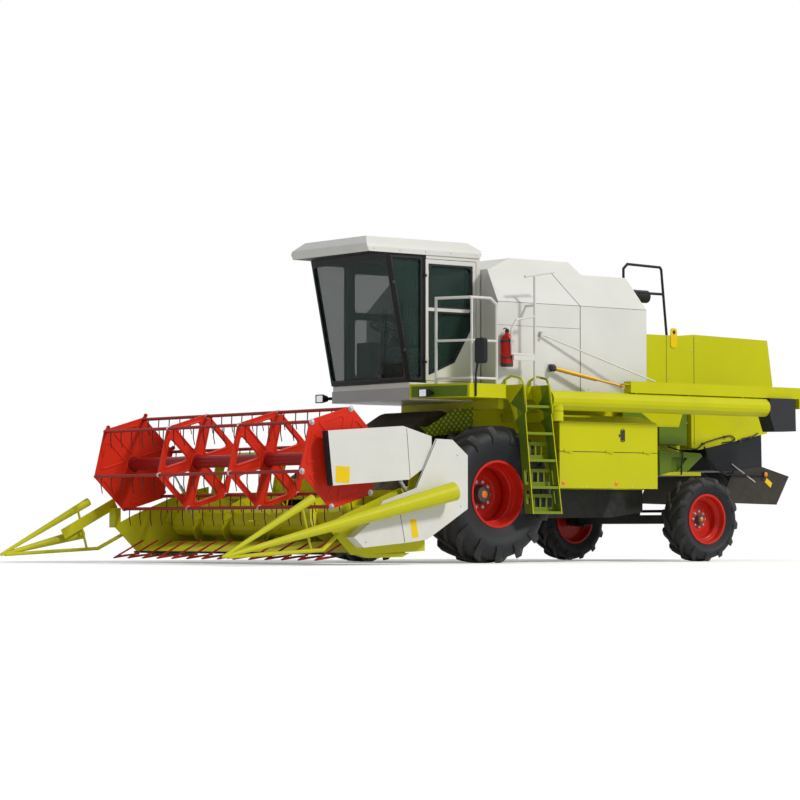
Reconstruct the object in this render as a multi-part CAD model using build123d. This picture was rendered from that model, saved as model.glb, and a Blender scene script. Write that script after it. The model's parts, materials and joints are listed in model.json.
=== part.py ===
from build123d import *
import os
from math import acos, atan2, cos, degrees, hypot, pi, radians, sin

# Combine harvester with its grain header, standing as parked. Millimetres.
# +X is forward, +Y the machine's left and +Z up. Sizes are first worked out from the point on the
# ground under the front axle; every piece is then moved so that the origin lies on the ground under
# the middle of the machine's length.

os.makedirs("parts", exist_ok=True)

# Running gear
FRONT_TYRE_R = 790.0
FRONT_TYRE_W = 590.0
FRONT_RIM_R = 366.0
FRONT_TRACK_Y = 1150.0
FRONT_LUGS = 15
FRONT_LUG_H = 42.0
FRONT_DISH = 350.0
REAR_TYRE_R = 512.0
REAR_TYRE_W = 340.0
REAR_RIM_R = 284.0
REAR_TRACK_Y = 1215.0
REAR_LUGS = 13
REAR_LUG_H = 30.0
REAR_DISH = 170.0
WHEELBASE = 3329.0
KINGPIN_Y = 905.0
RIM_WALL = 12.0
WHEEL_SIDES = 24
LUG_SHARE = 0.26
LUG_SLANT = 0.55
BEAD_SHARE = 0.74
FLANGE_H = 22.0
RIM_WELL = 45.0
HUB_GAP = 5.0
AXLE_STUB_R = 45.0
AXLE_STUB = 30.0
HUB_BACK = 40.0
AXLE_BEAM = 220.0
FINAL_DRIVE_R = 175.0
KINGPIN_R = 28.0
STEER_ARM = 150.0
TRACK_ROD_R = 18.0
RAIL_IN_Y = 625.0
RAIL_OUT_Y = 715.0
RAIL_LOW_Z = 1090.0
RAIL_TOP_Z = 1230.0
RAIL_FRONT_X = 330.0
RAIL_REAR_X = -(WHEELBASE + 291.0)
BOLSTER_LOW_Z = 1045.0
BOLSTER_HALF_W = 1000.0
HITCH_X = RAIL_REAR_X - 130.0
HITCH_BORE_R = 17.0

# Body
PANEL_OUT_Y = 1350.0
PANEL_WALL = 30.0
PANEL_FRONT_X = -960.0
PANEL_REAR_X = -2510.0
PANEL_LOW_Z = 871.0
PANEL_FOLD_Z = 1300.0
PANEL_TOP_Z = 1636.0
TANK_HALF_W = 1250.0
TANK_FRONT_X = -70.0
TANK_REAR_X = -2430.0
TANK_LOW_Z = 1990.0
TANK_FOLD_Z = 3020.0
TANK_TOP_Z = 3430.0
TANK_TOP_HALF_W = 880.0
HOOD_HALF_W = 750.0
HOOD_TOP_Z = 2775.0
HOOD_REAR_X = RAIL_REAR_X - 1430.0
HOOD_LOW_Z = 1376.0
BODY_FRONT_X = -160.0
SIEVE_TOP_Z = 870.0
HINGE_OUT = 8.0
HINGE_XS = (-1150.0, -1800.0, -2400.0)
LATCH_X = -1950.0
LATCH_Z = 1500.0
DOOR_HINGE_OUT = 10.0
SEAT_GAP = 0.3
FLAT = 0.0001

# Cab
CAB_HALF_W = 730.0
CAB_REAR_X = -270.0
CAB_FLOOR_Z = 2080.0
CAB_BASE_Z = 1876.0
CAB_WALL = 40.0
ROOF_TOP_Z = 3744.0
CAB_TOP_Z = ROOF_TOP_Z - 189.0
SCREEN_LOW_X = 811.0
SCREEN_TOP_X = 1106.0
SCREEN_LOW_Z = 2097.0
SCREEN_TOP_Z = CAB_TOP_Z - 45.0
DOOR_FRONT_X = 545.0
DOOR_REAR_X = -215.0
DOOR_GAP = 6.0
GLASS = 8.0
ROOF_FRONT_X = 1397.0
DOOR_HINGE_ZS = (2300.0, 3300.0)
SEAT_X = 150.0
STEERING_X = 548.0

# Platform and ladder
PLATFORM_TOP_Z = 2050.0
PLATFORM_DEPTH = 160.0
PLATFORM_OUT_Y = 1450.0
LADDER_XS = ((-208.0, -357.0), (-590.0, -793.0))
LADDER_IN_Y = 1452.0
LADDER_OUT_Y = 1590.0
LADDER_FOOT_Z = 565.0
LADDER_STEPS = (1815.0, 1505.0, 1195.0, 885.0, 595.0)
CHEEK = 12.0
RAIL_R = 17.0
POLE_X = -530.0
POLE_Y = 1410.0
LAMP_Y = 989.0
LAMP_Z = 1943.0

# Header and reel
HEADER_HALF_W = 2095.0
SHEET = 15.0
KNIFE_X = 2700.0
KNIFE_Z = 130.0
BACK_X = 1640.0
BACK_TOP_Z = 820.0
TABLE_AUGER_X = 2010.0
TABLE_AUGER_Z = 480.0
FLIGHT_R = 275.0
DRUM_R = 175.0
TROUGH_GAP = 25.0
FINGER_PITCH = 76.2
LIFTERS = 14
FEEDER_HALF_W = 500.0
FEEDER_PIVOT_X = 150.0
FEEDER_PIVOT_Z = 1500.0
FEEDER_NOSE_R = 270.0
FEEDER_PIN_R = 35.0
FEEDER_MOUTH_TOP_Z = 960.0
FEEDER_MOUTH_LOW_Z = 300.0
DIVIDER_TIP_X = 4420.0
DIVIDER_Y = 2240.0
REEL_X = 2741.0
REEL_Z = 1156.0
REEL_R = 544.0
REEL_TURN = 43.7
REEL_TUBE_R = 70.0
REEL_SHAFT_R = 30.0
REEL_PLATE = 20.0
REEL_END_Y = 2030.0
REEL_MID_Y = 700.0
BAT_R = 20.0
BAT_COUNT = 6
TINE_DROP = 200.0
PIN_GAP = 0.6
CRANK = 80.0
CRANK_TURN = 140.0
ARM_PIVOT_X = 1560.0
ARM_PIVOT_Z = 1250.0
ARM_IN_Y = 2115.0
ARM_W = 50.0
ARM_DEPTH = 90.0
SHEET_NOSE_X = 2980.0
PAN = 10.0
TROUGH_END = radians(-50.0)
TROUGH_FLATS = 12
TORPEDO_Y = 2372.0
COVER_OUT_Y = 2240.0
GUARD_OUT_Y = 2215.0
ARM_TUBE_R = 50.0
EYE_R = 38.0
CRANK_T = 12.0
CRANK_Y = -REEL_END_Y - REEL_PLATE / 2 - 14.0
STAR_Y = CRANK_Y - CRANK_T - 2.0
CRANK_PIN_R = 10.0
ECCENTRIC_R = 130.0
FLIGHT_TURNS = 2.75
FLIGHT_STEPS = 16
FINGERS = 14

# Hydraulic cylinders
EYE_SLACK = 13.0
LIFT_Y = 420.0
LIFT_BASE_X = 170.0
LIFT_BASE_Z = 720.0
LIFT_EYE_X = 1150.0
LIFT_EYE_Z = 490.0
LIFT_PIN_R = 18.0
LIFT_EYE_PIN_R = 14.0
REEL_CYL_X = 1780.0
REEL_CYL_Y = HEADER_HALF_W + 45.0
REEL_CYL_PIN_R = 12.0
REEL_CYL_Z = 560.0
REEL_EYE_X = 2150.0
REEL_EYE_Z = 1120.0
REEL_EYE_PIN_R = 9.0
SWING_BASE_X = -900.0
SWING_BASE_Y = TANK_HALF_W + 48.0
SWING_KNOB_R = 45.0
SWING_KNOB_H = 42.0
SWING_BASE_Z = 2270.0
SWING_EYE_X = -1860.0
SWING_EYE_Z = 2080.0
SWING_PIN_R = 10.0
SWING_ROD_R = 14.0
SWING_BOSS_R = 36.0
SWING_BOSS_H = 18.0
SWING_CHEEK = 12.0
SWING_CHEEK_HALF_W = 45.0
STAY_X = -750.0
STAY_Y = TANK_HALF_W + 24.0
STAY_Z = 2660.0
STAY_FOOT_X = -2380.0
STAY_FOOT_Z = 2150.0
STAY_R = 11.0
STAY_EYE_R = 18.0
STAY_EYE_H = 26.0
STAY_PIN_R = 6.0

# Unloading auger, folded back along the left side
SPOUT_Y = TANK_HALF_W + 200.0
SPOUT_Z = 1885.0
SPOUT_R = 115.0
SPOUT_PIVOT_X = -800.0
SPOUT_FRONT_X = -690.0
SPOUT_REAR_X = -4200.0
SPOUT_BACK_X = -4640.0
SPOUT_HALF_W = 105.0
TURRET_R = 100.0
CHANNEL_FRONT_X = -1940.0

# Chopper and its deflector
CHOPPER_REAR_X = RAIL_REAR_X - 1713.0

ORIGIN_X = -(DIVIDER_TIP_X + CHOPPER_REAR_X) / 2


def save(name, *solids):
    """Move solids to the machine's own origin and write them as one sub-part."""
    moved = [Location((ORIGIN_X, 0, 0)) * piece for piece in solids]
    export_step(moved[0] if len(moved) == 1 else Compound(children=moved), f"parts/{name}.step")


def slab(axis, outline, low, high):
    """A closed outline carried along one axis, from low to high."""
    place = {
        "x": lambda a, b: (low, a, b),
        "y": lambda a, b: (a, low, b),
        "z": lambda a, b: (a, b, low),
    }[axis]
    along = {"x": (1, 0, 0), "y": (0, 1, 0), "z": (0, 0, 1)}[axis]
    face = make_face(Polyline(*[place(a, b) for a, b in outline], close=True))
    return extrude(face, amount=high - low, dir=along)


def block(x0, x1, y0, y1, z0, z1):
    """A rectangular block between two corners."""
    return slab("z", [(x0, y0), (x1, y0), (x1, y1), (x0, y1)], z0, z1)


def rod(start, end, radius):
    """A truly round bar between two points, for shafts, pins and bores."""
    begin = Vector(*start)
    span = Vector(*end) - begin
    return Solid.make_cylinder(radius, span.length, Plane(origin=begin, z_dir=span))


def skin(rings, loop=False):
    """A solid of flat faces that join one ring of points to the next; loop closes the last to the first."""
    faces = []
    following = rings[1:] + rings[:1] if loop else rings[1:]
    for near, far in zip(rings, following):
        for k in range(len(near)):
            j = (k + 1) % len(near)
            a, b, c, d = near[k], near[j], far[j], far[k]
            twist = (b - a).cross(c - a).normalized().dot(d - a)
            patches = [(a, b, c, d)] if abs(twist) < FLAT else [(a, b, c), (a, c, d)]
            faces += [Face(Wire.make_polygon(patch)) for patch in patches]
    if not loop:
        faces += [Face(Wire.make_polygon(rings[0])), Face(Wire.make_polygon(rings[-1]))]
    return Solid(Shell(faces))


def ring(centre, direction, radius, sides):
    """The corners of a regular outline round a centre, square to a direction."""
    way = direction.normalized()
    first = way.cross(Vector(0, 0, 1) if abs(way.Z) < 0.9 else Vector(1, 0, 0)).normalized()
    second = way.cross(first)
    turns = [2 * pi * (k + 0.5) / sides for k in range(sides)]
    return [centre + first * (radius * cos(t)) + second * (radius * sin(t)) for t in turns]


def pipe(points, radius, sides=8):
    """A tube of flat sides along straight runs with mitred corners."""
    spots = [Vector(*point) for point in points]
    ways = [(b - a).normalized() for a, b in zip(spots, spots[1:])]
    loop = ring(spots[0], ways[0], radius, sides)
    rings = [loop]
    for k in range(1, len(spots)):
        way = ways[k - 1]
        cut = way + ways[k] if k < len(ways) else way
        loop = [p + way * ((spots[k] - p).dot(cut) / way.dot(cut)) for p in loop]
        rings.append(loop)
    return skin(rings)


def post(start, end, radius, tip=None, sides=12):
    """A bar of flat sides between two points, tapered when tip gives its second radius."""
    a, b = Vector(*start), Vector(*end)
    return skin([ring(a, b - a, radius, sides), ring(b, b - a, radius if tip is None else tip, sides)])


def spindle(profile, sides):
    """A solid of flat sides about the Y axis, through an open outline of (radius, y)."""
    turns = [2 * pi * k / sides for k in range(sides)]
    return skin([[Vector(r * cos(t), y, r * sin(t)) for t in turns] for r, y in profile])


def turned(profile, sides):
    """A ring of flat sides about the Y axis, with a closed section of (radius, y)."""
    turns = [2 * pi * k / sides for k in range(sides)]
    return skin([[Vector(r * cos(t), y, r * sin(t)) for r, y in profile] for t in turns], loop=True)


def bar(start, end, depth, y0, y1):
    """A flat bar seen from the side: its centre line runs from start to end, both (x, z)."""
    run = hypot(end[0] - start[0], end[1] - start[1])
    nx = -(end[1] - start[1]) / run * depth / 2
    nz = (end[0] - start[0]) / run * depth / 2
    corners = [
        (start[0] + nx, start[1] + nz),
        (end[0] + nx, end[1] + nz),
        (end[0] - nx, end[1] - nz),
        (start[0] - nx, start[1] - nz),
    ]
    return slab("y", corners, y0, y1)


def around(centre, radii_and_turns):
    """Points of an outline in (x, z), each given by its radius and its turn about a centre."""
    return [(centre[0] + r * cos(t), centre[1] + r * sin(t)) for r, t in radii_and_turns]


def shrink(outline, gap):
    """The same convex outline with every edge moved in by a gap."""
    area = sum(a[0] * b[1] - b[0] * a[1] for a, b in zip(outline, outline[1:] + outline[:1]))
    turn = 1 if area > 0 else -1
    moved = []
    count = len(outline)
    for k in range(count):
        lines = []
        for a, b in ((outline[k - 1], outline[k]), (outline[k], outline[(k + 1) % count])):
            run = hypot(b[0] - a[0], b[1] - a[1])
            nx, ny = -(b[1] - a[1]) / run * turn, (b[0] - a[0]) / run * turn
            lines.append((nx, ny, nx * a[0] + ny * a[1] + gap))
        (p, q, c), (r, s, d) = lines
        det = p * s - q * r
        moved.append(((c * s - q * d) / det, (p * d - c * r) / det))
    return moved


def other_side(shape):
    """The same piece on the machine's right."""
    return mirror(shape, about=Plane.XZ)


def side_span(sign, inner, outer):
    """Low and high y of a piece between two distances from the centre plane, on either side."""
    return sorted((sign * inner, sign * outer))


def tyre(radius, width, rim_r, lugs, lug_h):
    """A traction tyre about the Y axis: a rounded carcass with slanted lugs, alternating sides."""
    half = width / 2
    tread_r = radius - lug_h
    bead_y = BEAD_SHARE * half
    bead_r = rim_r + FLANGE_H + 8
    wall_r = rim_r + 0.55 * (tread_r - rim_r)
    shoulder_r = tread_r - 0.16 * (tread_r - rim_r)
    section = [
        (rim_r, -bead_y),
        (bead_r, -bead_y),
        (wall_r, -half),
        (shoulder_r, -0.94 * half),
        (tread_r, -0.68 * half),
        (tread_r, 0.68 * half),
        (shoulder_r, 0.94 * half),
        (wall_r, half),
        (bead_r, bead_y),
        (rim_r, bead_y),
    ]
    carcass = turned(section, WHEEL_SIDES)
    pitch = 2 * pi / lugs
    thick = LUG_SHARE * pitch
    slant = LUG_SLANT * width / radius
    stations = [
        # y, radius of the foot, radius of the top, turn
        (-0.03 * half, tread_r - 18, radius, -slant),
        (0.70 * half, tread_r - 18, radius, -0.2 * slant),
        (0.97 * half, wall_r, shoulder_r + 0.3 * lug_h, 0.0),
    ]
    lug_turns = [-pi / 2 + pitch * k for k in range(lugs)]
    feet = []
    for sign in (1, -1):
        for start in lug_turns:
            begin = start + (pitch / 2 if sign < 0 else 0)
            feet.append(skin([[Vector(r * cos(begin + turn + t), sign * y, r * sin(begin + turn + t))
                               for r, t in ((foot_r, -0.1 * thick), (top_r, 0), (top_r, thick),
                                            (foot_r, 1.1 * thick))]
                              for y, foot_r, top_r, turn in stations]))
    return carcass.fuse(*feet)


def rim(rim_r, width, dish, hub_r):
    """A well-base rim about the Y axis with its disc, set in from the outer edge by the dish."""
    bead_y = BEAD_SHARE * width / 2
    seat_r = rim_r - SEAT_GAP
    lip_r = rim_r + FLANGE_H
    edge_y = bead_y + RIM_WALL
    disc_y = edge_y - dish
    inside_r = seat_r - RIM_WALL
    well_r = inside_r - RIM_WELL
    inside = [(inside_r, edge_y), (inside_r, 0.5 * bead_y), (well_r, 0.3 * bead_y),
              (well_r, -0.3 * bead_y), (inside_r, -0.5 * bead_y), (inside_r, -edge_y)]

    def depth(y):
        for (r0, y0), (r1, y1) in zip(inside, inside[1:]):
            if y1 <= y <= y0:
                return r0 + (r1 - r0) * (y0 - y) / (y0 - y1)

    face_y = disc_y + RIM_WALL
    disc = [(depth(face_y), face_y), (hub_r, face_y), (hub_r, disc_y), (depth(disc_y), disc_y)]
    front = [(r, y) for r, y in inside if y > face_y]
    rear = [(r, y) for r, y in inside if y < disc_y]
    outside = [(lip_r, -edge_y), (lip_r, -bead_y), (seat_r, -bead_y), (seat_r, bead_y), (lip_r, bead_y),
               (lip_r, edge_y)]
    return turned(front + disc + rear + outside, WHEEL_SIDES), disc_y


def hub(disc_y, flange_r, nose_r, nose):
    """A wheel hub about the Y axis: a flange behind the disc and a nose through it, bored for its shaft."""
    back_y = disc_y - HUB_BACK
    end_y = disc_y + nose
    body = spindle([(flange_r, back_y), (flange_r, disc_y), (nose_r, disc_y), (nose_r, end_y - 0.3 * nose),
                    (0.7 * nose_r, end_y)], WHEEL_SIDES)
    return body - rod((0, back_y, 0), (0, back_y + AXLE_STUB, 0), AXLE_STUB_R + PIN_GAP)


def wheels():
    """Four wheels, each a tyre, a rim and a hub that turn together."""
    rows = [
        # name, x, track_y, radius, width, rim_r, lugs, lug_h, dish, flange_r, nose_r, nose
        ("front", 0.0, FRONT_TRACK_Y, FRONT_TYRE_R, FRONT_TYRE_W, FRONT_RIM_R, FRONT_LUGS, FRONT_LUG_H,
         FRONT_DISH, 190.0, 105.0, 110.0),
        ("rear", -WHEELBASE, REAR_TRACK_Y, REAR_TYRE_R, REAR_TYRE_W, REAR_RIM_R, REAR_LUGS, REAR_LUG_H,
         REAR_DISH, 125.0, 62.0, 70.0),
    ]
    for name, x, track_y, radius, width, rim_r, lugs, lug_h, dish, flange_r, nose_r, nose in rows:
        place = Location((x, track_y, radius))
        metal, disc_y = rim(rim_r, width, dish, nose_r + SEAT_GAP)
        pieces = {
            "tyre": [place * tyre(radius, width, rim_r, lugs, lug_h)],
            "wheel": [place * metal, place * hub(disc_y, flange_r, nose_r, nose)],
        }
        for kind, solids in pieces.items():
            save(f"{kind}_{name}_left", *solids)
            save(f"{kind}_{name}_right", *[other_side(piece) for piece in solids])


def hub_back_y(track_y, width, dish):
    """The plane of a wheel hub's inner face, on the machine's left."""
    return track_y + BEAD_SHARE * width / 2 + RIM_WALL - dish - HUB_BACK


def front_axle():
    """The fixed drive axle: beam, two final drives with stub shafts, and the legs under the frame."""
    face_y = hub_back_y(FRONT_TRACK_Y, FRONT_TYRE_W, FRONT_DISH) - HUB_GAP
    z = FRONT_TYRE_R
    drive_y = face_y - 195
    beam = AXLE_BEAM / 2
    parts = [block(-beam, beam, -drive_y - 5, drive_y + 5, z - beam, z + beam)]
    for sign in (1, -1):
        parts.append(post((0, sign * drive_y, z), (0, sign * face_y, z), FINAL_DRIVE_R, sides=20))
        stub_y = face_y + HUB_GAP + AXLE_STUB - 2
        parts.append(rod((0, sign * (face_y - 1), z), (0, sign * stub_y, z), AXLE_STUB_R))
        y0, y1 = side_span(sign, RAIL_IN_Y, RAIL_OUT_Y)
        parts.append(block(-170, 170, y0, y1, z, RAIL_LOW_Z - SEAT_GAP))
        y = sign * LIFT_Y
        parts.append(rod((LIFT_BASE_X, y - 36, LIFT_BASE_Z), (LIFT_BASE_X, y + 36, LIFT_BASE_Z), LIFT_PIN_R))
        for ear_y in (y - 36, y + 24):
            parts.append(slab("y", [(90, 685), (90, 800), (185, 748), (196, 700)], ear_y, ear_y + 12))
    save("front_axle", parts[0].fuse(*parts[1:]))


def rear_axle():
    """The steered rear axle: beam with pivot lug, knuckles on kingpins and the track rod behind it."""
    x, z = -WHEELBASE, REAR_TYRE_R
    low, high = z - 55.0, z + 55.0
    beam = block(x - 55, x + 55, -KINGPIN_Y, KINGPIN_Y, low, high)
    lug = block(x - 55, x + 55, -90, 90, high - 5, BOLSTER_LOW_Z - SEAT_GAP)
    ends = [post((x, s * KINGPIN_Y, low), (x, s * KINGPIN_Y, high), 72) for s in (1, -1)]
    body = beam.fuse(lug, *ends)
    for sign in (1, -1):
        body -= rod((x, sign * KINGPIN_Y, 0), (x, sign * KINGPIN_Y, 2 * z), KINGPIN_R + PIN_GAP)
    save("rear_axle", body)

    face_y = hub_back_y(REAR_TRACK_Y, REAR_TYRE_W, REAR_DISH) - HUB_GAP
    pin = rod((x, KINGPIN_Y, low - 30), (x, KINGPIN_Y, high + 30), KINGPIN_R)
    cheek_y = KINGPIN_Y + 80.0
    upright = block(x - 55, x + 55, cheek_y, cheek_y + 30, low - 30, high + 30)
    ears = [block(x - 55, x + 55, KINGPIN_Y - 50, cheek_y, *span)
            for span in ((low - 30, low - 6), (high + 6, high + 30))]
    stub = post((x, cheek_y + 29, z), (x, face_y, z), 80, sides=16)
    shaft = rod((x, face_y - 1, z), (x, face_y + HUB_GAP + AXLE_STUB - 2, z), AXLE_STUB_R)
    arm = slab("z", [(x + 20, KINGPIN_Y - 50), (x - 50, KINGPIN_Y - 50),
                     (x - STEER_ARM - 25, KINGPIN_Y - 20), (x - STEER_ARM - 25, KINGPIN_Y + 20),
                     (x - 50, KINGPIN_Y + 50), (x + 20, KINGPIN_Y + 50)],
               high + 10, high + 30)
    knuckle = upright.fuse(pin, *ears, stub, shaft, arm)
    save("knuckle_left", knuckle)
    save("knuckle_right", other_side(knuckle))

    rod_z = high + 30 + TRACK_ROD_R + SEAT_GAP
    rod_x = x - STEER_ARM
    save("track_rod", rod((rod_x, -KINGPIN_Y, rod_z), (rod_x, KINGPIN_Y, rod_z), TRACK_ROD_R))


def frame():
    """Two long rails, cross members, the rear bolster over the steered axle and the tow hitch."""
    parts = []
    for sign in (1, -1):
        y0, y1 = side_span(sign, RAIL_IN_Y, RAIL_OUT_Y)
        rail = block(RAIL_REAR_X, RAIL_FRONT_X, y0, y1, RAIL_LOW_Z, RAIL_TOP_Z)
        x, z = FEEDER_PIVOT_X, FEEDER_PIVOT_Z
        low = RAIL_TOP_Z - 1
        ear = slab("y", [(x - 150, low), (x + 180, low), (x + 80, z + 80), (x - 80, z + 80)], y0, y1)
        parts.append(rail.fuse(ear) - rod((x, y0 - 5, z), (x, y1 + 5, z), FEEDER_PIN_R + PIN_GAP))
    half = BOLSTER_HALF_W
    front, rear = -WHEELBASE + 230.0, -WHEELBASE - 230.0
    bed = block(rear, front, -half, half, BOLSTER_LOW_Z, RAIL_LOW_Z - SEAT_GAP)
    gussets = []
    for sign in (1, -1):
        y0, y1 = side_span(sign, RAIL_OUT_Y + SEAT_GAP, half)
        gusset = slab("y", [(rear - 27, 1286), (rear + 7, 1322), (front + 234, 1350),
                            (front + 219, BOLSTER_LOW_Z), (rear + 299, BOLSTER_LOW_Z)], y0, y1)
        recess = slab("y", [(front + 56, 1085), (front + 25, 1267), (front - 239, 1262), (front - 61, 1085)],
                      *side_span(sign, half - 40, half + 1))
        gussets.append(gusset - recess)
    bolster = bed.fuse(*gussets)

    rear_x = RAIL_REAR_X
    crossbar = block(rear_x - 12, rear_x - SEAT_GAP, -RAIL_OUT_Y, RAIL_OUT_Y, RAIL_LOW_Z, RAIL_TOP_Z)
    mast = block(rear_x - 60, rear_x - 11, -90, 90, RAIL_LOW_Z - 120, RAIL_TOP_Z)
    jaws = [block(rear_x - 170, rear_x - 59, -55, 55, z0, z0 + 25)
            for z0 in (RAIL_LOW_Z - 115, RAIL_LOW_Z - 30)]
    hitch = crossbar.fuse(mast, *jaws)
    hitch -= rod((HITCH_X, 0, RAIL_LOW_Z - 200), (HITCH_X, 0, RAIL_TOP_Z), HITCH_BORE_R)
    save("frame", *parts, hitch, bolster)


def body():
    """Threshing body between the rails, the sieve box below it, and the side bulkheads and panels."""
    half = RAIL_IN_Y - SEAT_GAP
    rear = -WHEELBASE - 231.0
    outline = [(CAB_REAR_X - 25, TANK_LOW_Z - SEAT_GAP), (CAB_REAR_X - 25, CAB_BASE_Z - SEAT_GAP),
               (BODY_FRONT_X, CAB_BASE_Z - SEAT_GAP), (BODY_FRONT_X, 1180), (BODY_FRONT_X - 120, 1010),
               (BODY_FRONT_X - 420, SIEVE_TOP_Z), (rear + 600, SIEVE_TOP_Z), (rear + 510, RAIL_LOW_Z),
               (rear, RAIL_LOW_Z), (rear, TANK_LOW_Z - SEAT_GAP)]
    shell = slab("y", outline, -half, half)
    skirt = [(-1250, SIEVE_TOP_Z - SEAT_GAP), (-1330, 520), (rear + 1110, 535), (rear + 610, 600),
             (rear + 610, SIEVE_TOP_Z - SEAT_GAP)]
    save("thresher_body", shell, slab("y", skirt, -half + 20, half - 20))

    inner_y = PANEL_OUT_Y - PANEL_WALL - SEAT_GAP
    standing = []
    for name, sign in (("left", 1), ("right", -1)):
        plates = []
        for x in (PANEL_FRONT_X - 45, (PANEL_FRONT_X + PANEL_REAR_X) / 2, PANEL_REAR_X + 15):
            y0, y1 = side_span(sign, RAIL_OUT_Y + SEAT_GAP, inner_y)
            plates.append(block(x, x + SHEET, y0, y1, PANEL_LOW_Z + 10, PANEL_TOP_Z - 12))
        shelf_y = side_span(sign, RAIL_OUT_Y + 80, inner_y)
        shelf = block(PANEL_REAR_X + 15, PANEL_FRONT_X - 30, *shelf_y, PANEL_TOP_Z - 24, PANEL_TOP_Z - 6)
        root_y = sign * (half + 2 * SEAT_GAP)
        ledge_yz = [(root_y, 1740), (sign * 1050, 1740), (sign * PANEL_OUT_Y, 1650),
                    (sign * PANEL_OUT_Y, PANEL_TOP_Z + 2), (sign * 1045, 1715), (root_y, 1715)]
        ledge = slab("x", ledge_yz, PANEL_REAR_X, SPOUT_PIVOT_X - SPOUT_R - 60)
        y0, y1 = side_span(sign, PANEL_OUT_Y - PANEL_WALL, PANEL_OUT_Y)
        lower = block(PANEL_REAR_X, PANEL_FRONT_X, y0, y1, PANEL_LOW_Z, PANEL_FOLD_Z - 3)
        upper = block(PANEL_REAR_X, PANEL_FRONT_X, y0, y1, PANEL_FOLD_Z + 3, PANEL_TOP_Z)
        axis_y = sign * (PANEL_OUT_Y + HINGE_OUT)
        fixed, turning = [], []
        for x in HINGE_XS:
            leaf = side_span(sign, PANEL_OUT_Y, PANEL_OUT_Y + HINGE_OUT)
            fixed.append(rod((x, axis_y, PANEL_FOLD_Z), (x + 60, axis_y, PANEL_FOLD_Z), 6))
            fixed.append(block(x, x + 60, *leaf, PANEL_FOLD_Z - 20, PANEL_FOLD_Z))
            turning.append(rod((x + 61, axis_y, PANEL_FOLD_Z), (x + 121, axis_y, PANEL_FOLD_Z), 6))
            turning.append(block(x + 61, x + 121, *leaf, PANEL_FOLD_Z, PANEL_FOLD_Z + 20))
        recess = block(LATCH_X - 25, LATCH_X + 25, *side_span(sign, PANEL_OUT_Y - 15, PANEL_OUT_Y + 5),
                       LATCH_Z - 60, LATCH_Z + 60)
        standing += [plates[0].fuse(*plates[1:], shelf), ledge, lower.fuse(*fixed)]
        save(f"side_door_{name}", (upper - recess).fuse(*turning))
    save("side_panels", *standing)


def hood():
    """The straw hood behind the tank, with the engine bay in its front end, and the engine in it."""
    r, top = HOOD_REAR_X, HOOD_TOP_Z
    seat_z = TANK_LOW_Z + 2
    side = [(TANK_REAR_X - 20, seat_z), (TANK_REAR_X - 20, top), (r + 1620, top), (r + 1370, top + 25),
            (r + 90, top), (r, 2220), (r + 100, 1600), (r + 1270, HOOD_LOW_Z), (r + 1410, HOOD_LOW_Z),
            (r + 1410, seat_z)]
    outer = slab("y", side, -HOOD_HALF_W, HOOD_HALF_W)
    bay = block(r + 1630, TANK_REAR_X, -HOOD_HALF_W + SHEET, HOOD_HALF_W - SHEET, 1900, top - SHEET)
    chute = slab("y", [(r + 1350, 1300), (r + 1350, 2600), (r + 150, 2600), (r + 90, 2220), (r + 165, 1500)],
                 -HOOD_HALF_W + SHEET, HOOD_HALF_W - SHEET)
    save("engine", block(-3350, -2520, -480, 480, TANK_LOW_Z, 2600))
    cheeks = []
    for sign in (1, -1):
        y0, y1 = side_span(sign, RAIL_OUT_Y + SEAT_GAP, HOOD_HALF_W)
        cheek = block(r + 1490, PANEL_REAR_X - SEAT_GAP, y0, y1, 1420, seat_z - 2 * SEAT_GAP)
        box_y = side_span(sign, HOOD_HALF_W - 1, HOOD_HALF_W + 28)
        cheeks.append(cheek.fuse(block(r + 1625, r + 1978, *box_y, 1432, 1645)))
    tube_y = HOOD_HALF_W + 20
    carrier = pipe([(r + 1190, HOOD_HALF_W - 8, 1410), (r + 1187, tube_y, 1381), (r + 1153, tube_y, 1294),
                    (r + 965, tube_y, 1122), (r + 827, tube_y, 1074), (r + 200, tube_y, 1075)], 13, 6)
    save("straw_hood", (outer - bay - chute).fuse(carrier), *cheeks)


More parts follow.
